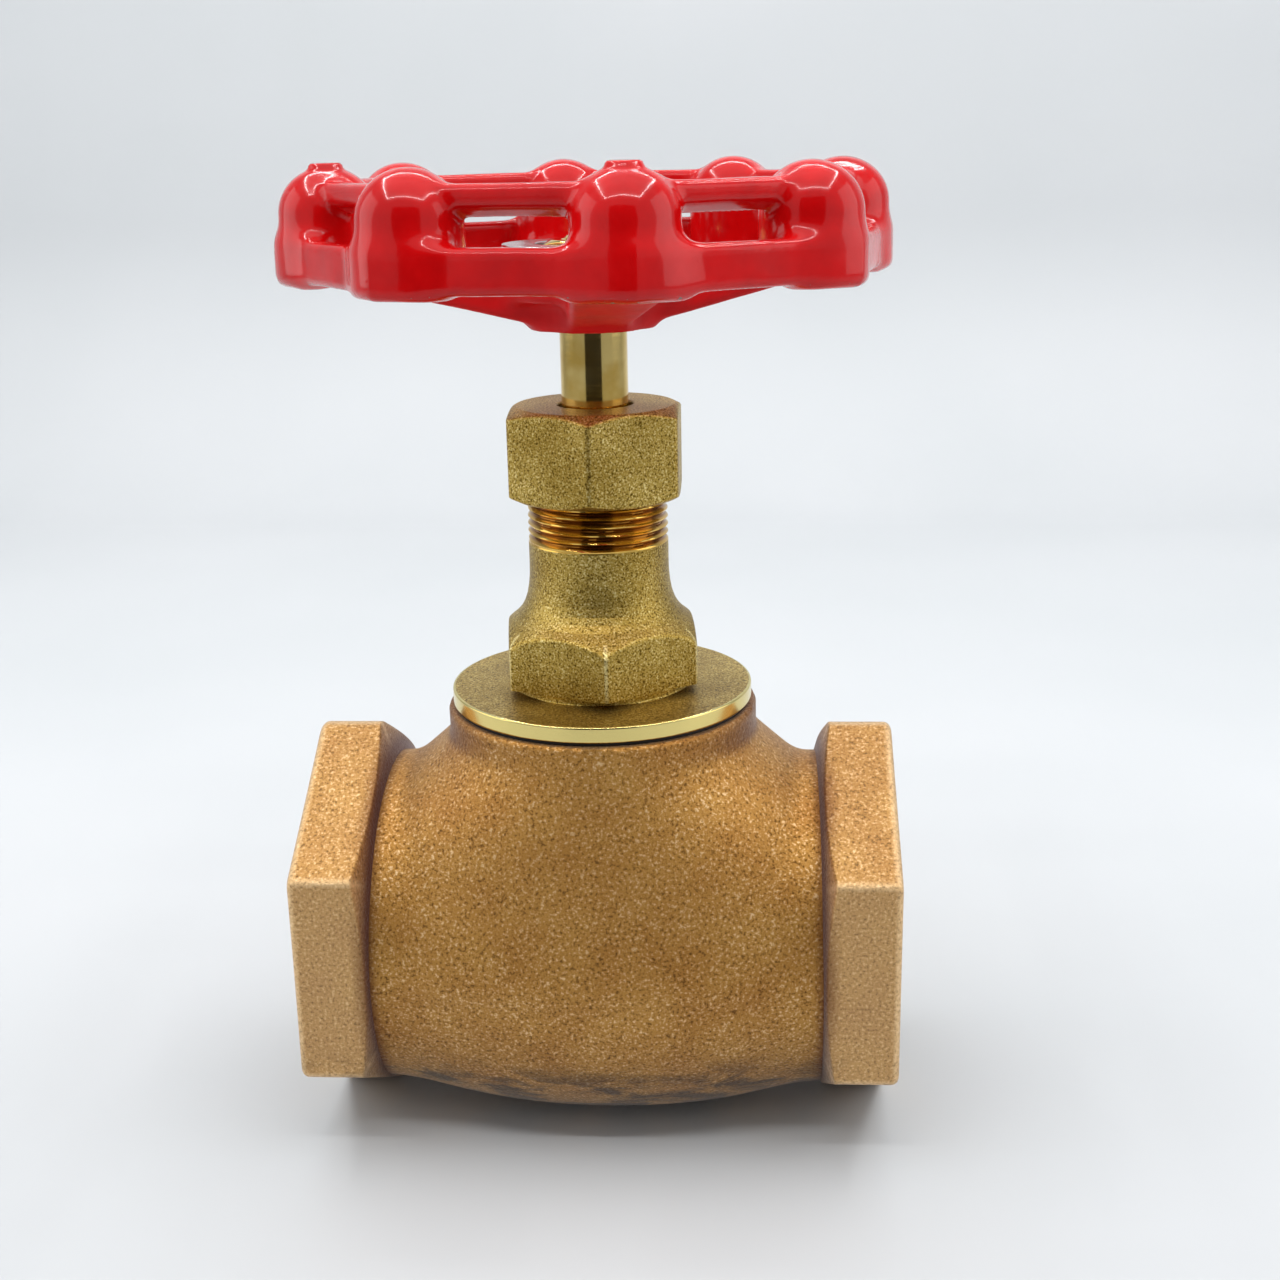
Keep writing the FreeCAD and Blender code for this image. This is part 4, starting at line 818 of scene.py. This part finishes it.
# finishes of the pieces inside
insideFinish = {"packing_washer": polishedBrass, "gland_follower": polishedBrass,
                "packing_ring_1": graphitePacking, "packing_ring_2": graphitePacking,
                "packing_ring_3": graphitePacking, "packing_ring_4": graphitePacking,
                "disc_holder": polishedBrass, "seat_disc": ptfeDisc, "seat_disc_washer": polishedBrass,
                "seat_disc_nut": polishedBrass, "disc_lock_nut": polishedBrass}
for name, material in insideFinish.items():
    nodes[name].data.materials.clear()
    nodes[name].data.materials.append(material)


studio = {"low": "#C3C6C8", "high": "#C9CBCD", "walls": "#F2F5F8", "wallStrength": 0.72,
          "boxHeight": 0.62, "boxHalf": 0.34, "stripWidth": 0.014, "stripPower": 1.3, "panelPower": 1.1,
          "sidePower": 1.0, "sideSize": (0.5, 0.5), "sideHeight": 0.3, "sideAt": 0.6, "sideAim": (0, 0, 0.06),
          "wallAt": 0.56, "wallTop": 3.0, "floorHalf": 4.0, "sweep": 0.12, "clothLow": "#1A1715",
          "clothHigh": "#2A2623", "card": (-0.26, 0.32, -0.55, 0.0, 0.5)}


def addLight(name, size, power, place, aim, colour=(1, 1, 1)):
    # flat light at a place, facing a point; its power is spread over width times height
    light = bpy.data.lights.new(name, "AREA")
    light.shape = "RECTANGLE"
    light.size, light.size_y = size
    light.energy = power
    light.color = colour
    holder = bpy.data.objects.new(name, light)
    bpy.context.scene.collection.objects.link(holder)
    holder.location = place
    holder.rotation_mode = "QUATERNION"
    holder.rotation_quaternion = (Vector(aim) - Vector(place)).to_track_quat("-Z", "Y")
    return holder


top, half = studio["boxHeight"], studio["boxHalf"]
for number, (x, y) in enumerate(((0, -half), (0, half), (-half, 0), (half, 0))):
    size = (2 * half, studio["stripWidth"]) if y else (studio["stripWidth"], 2 * half)
    addLight("strip%d" % number, size, studio["stripPower"], (x, y, top), (x, y, 0))
addLight("topPanel", (2 * half, 2 * half), studio["panelPower"], (0, 0, top + 0.02), (0, 0, 0))
for name, side in (("leftPanel", -1), ("rightPanel", 1)):
    spot = (side * studio["sideAt"], 0.0, studio["sideHeight"])
    addLight(name, studio["sideSize"], studio["sidePower"], spot, studio["sideAim"])


def addStage(name, points, faces, material):  # a flat or swept surface of the studio, left out of the object
    mesh = bpy.data.meshes.new(name)
    mesh.from_pydata(points, [], faces)
    mesh.materials.append(material)
    mesh.shade_smooth()
    surface = bpy.data.objects.new(name, mesh)
    bpy.context.scene.collection.objects.link(surface)
    return surface


board, tree, shader, place = newMaterial("paleBoard", Metallic=0.0, Roughness=0.6)
fade = addNode(tree, "TexNoise", {"Vector": place, "Scale": 6.0, "Detail": 2.0})
tone = addNode(tree, "ValToRGB", {"Fac": fade.outputs["Fac"]},
               stops=[(0.3, colourOf(studio["low"])), (0.7, colourOf(studio["high"]))])
tree.links.new(tone.outputs["Color"], shader.inputs["Base Color"])
wall, sweep = studio["wallAt"], studio["sweep"]
bend = [(wall - sweep + sweep * math.sin(a), sweep - sweep * math.cos(a))
        for a in np.linspace(0, math.pi / 2, 17)]
section = [(-studio["floorHalf"], 0.0)] + bend + [(wall, studio["wallTop"])]
points = [(x, y, z) for x in (-studio["floorHalf"], studio["floorHalf"]) for y, z in section]
count = len(section)
addStage("floor", points, [(i, i + count, i + count + 1, i + 1) for i in range(count - 1)], board)

card, tree, shader, place = newMaterial("darkCloth", Metallic=0.0, Roughness=0.9)
weave = addNode(tree, "TexNoise", {"Vector": place, "Scale": 900.0, "Detail": 2.0})
tone = addNode(tree, "ValToRGB", {"Fac": weave.outputs["Fac"]},
               stops=[(0.3, colourOf(studio["clothLow"])), (0.7, colourOf(studio["clothHigh"]))])
tree.links.new(tone.outputs["Color"], shader.inputs["Base Color"])
left, right, depth, low, high = studio["card"]
corners = [(left, depth, low), (right, depth, low), (right, depth, high), (left, depth, high)]
cloth = addStage("cloth", corners, [(0, 1, 2, 3)], card)
cloth.visible_camera = False

world = bpy.data.worlds.new("studioWalls")
bpy.context.scene.world = world
world.use_nodes = True
background = world.node_tree.nodes["Background"]
background.inputs["Color"].default_value = colourOf(studio["walls"])
background.inputs["Strength"].default_value = studio["wallStrength"]
bpy.context.scene.view_settings.view_transform = "Standard"

view = {"focal": 1707.63, "yaw": 3.63, "pitch": 16.277, "roll": -1.116, "place": (22.852, -261.992, 125.471),
        "rise": -3.0, "frame": 1280.0, "sensor": 36.0}
yaw, pitch, roll = [math.radians(view[key]) for key in ("yaw", "pitch", "roll")]
forward = Vector((-math.sin(yaw) * math.cos(pitch), math.cos(yaw) * math.cos(pitch), -math.sin(pitch)))
right = Vector((math.cos(yaw), math.sin(yaw), 0))
upward = right.cross(forward)
right, upward = (math.cos(roll) * right + math.sin(roll) * upward,
                 -math.sin(roll) * right + math.cos(roll) * upward)
cameraData = bpy.data.cameras.new("camera")
cameraData.sensor_width = view["sensor"]
cameraData.lens = view["focal"] / view["frame"] * view["sensor"]
cameraData.shift_y = view["rise"] / view["frame"]
cameraData.clip_start = 0.01
camera = bpy.data.objects.new("camera", cameraData)
bpy.context.scene.collection.objects.link(camera)
spot = (Vector(view["place"]) + Vector((0, 0, bellyHeight))) * mm
camera.matrix_world = Matrix.Translation(spot) @ Matrix((right, upward, -forward)).transposed().to_4x4()
bpy.context.scene.camera = camera

print("scene ready")
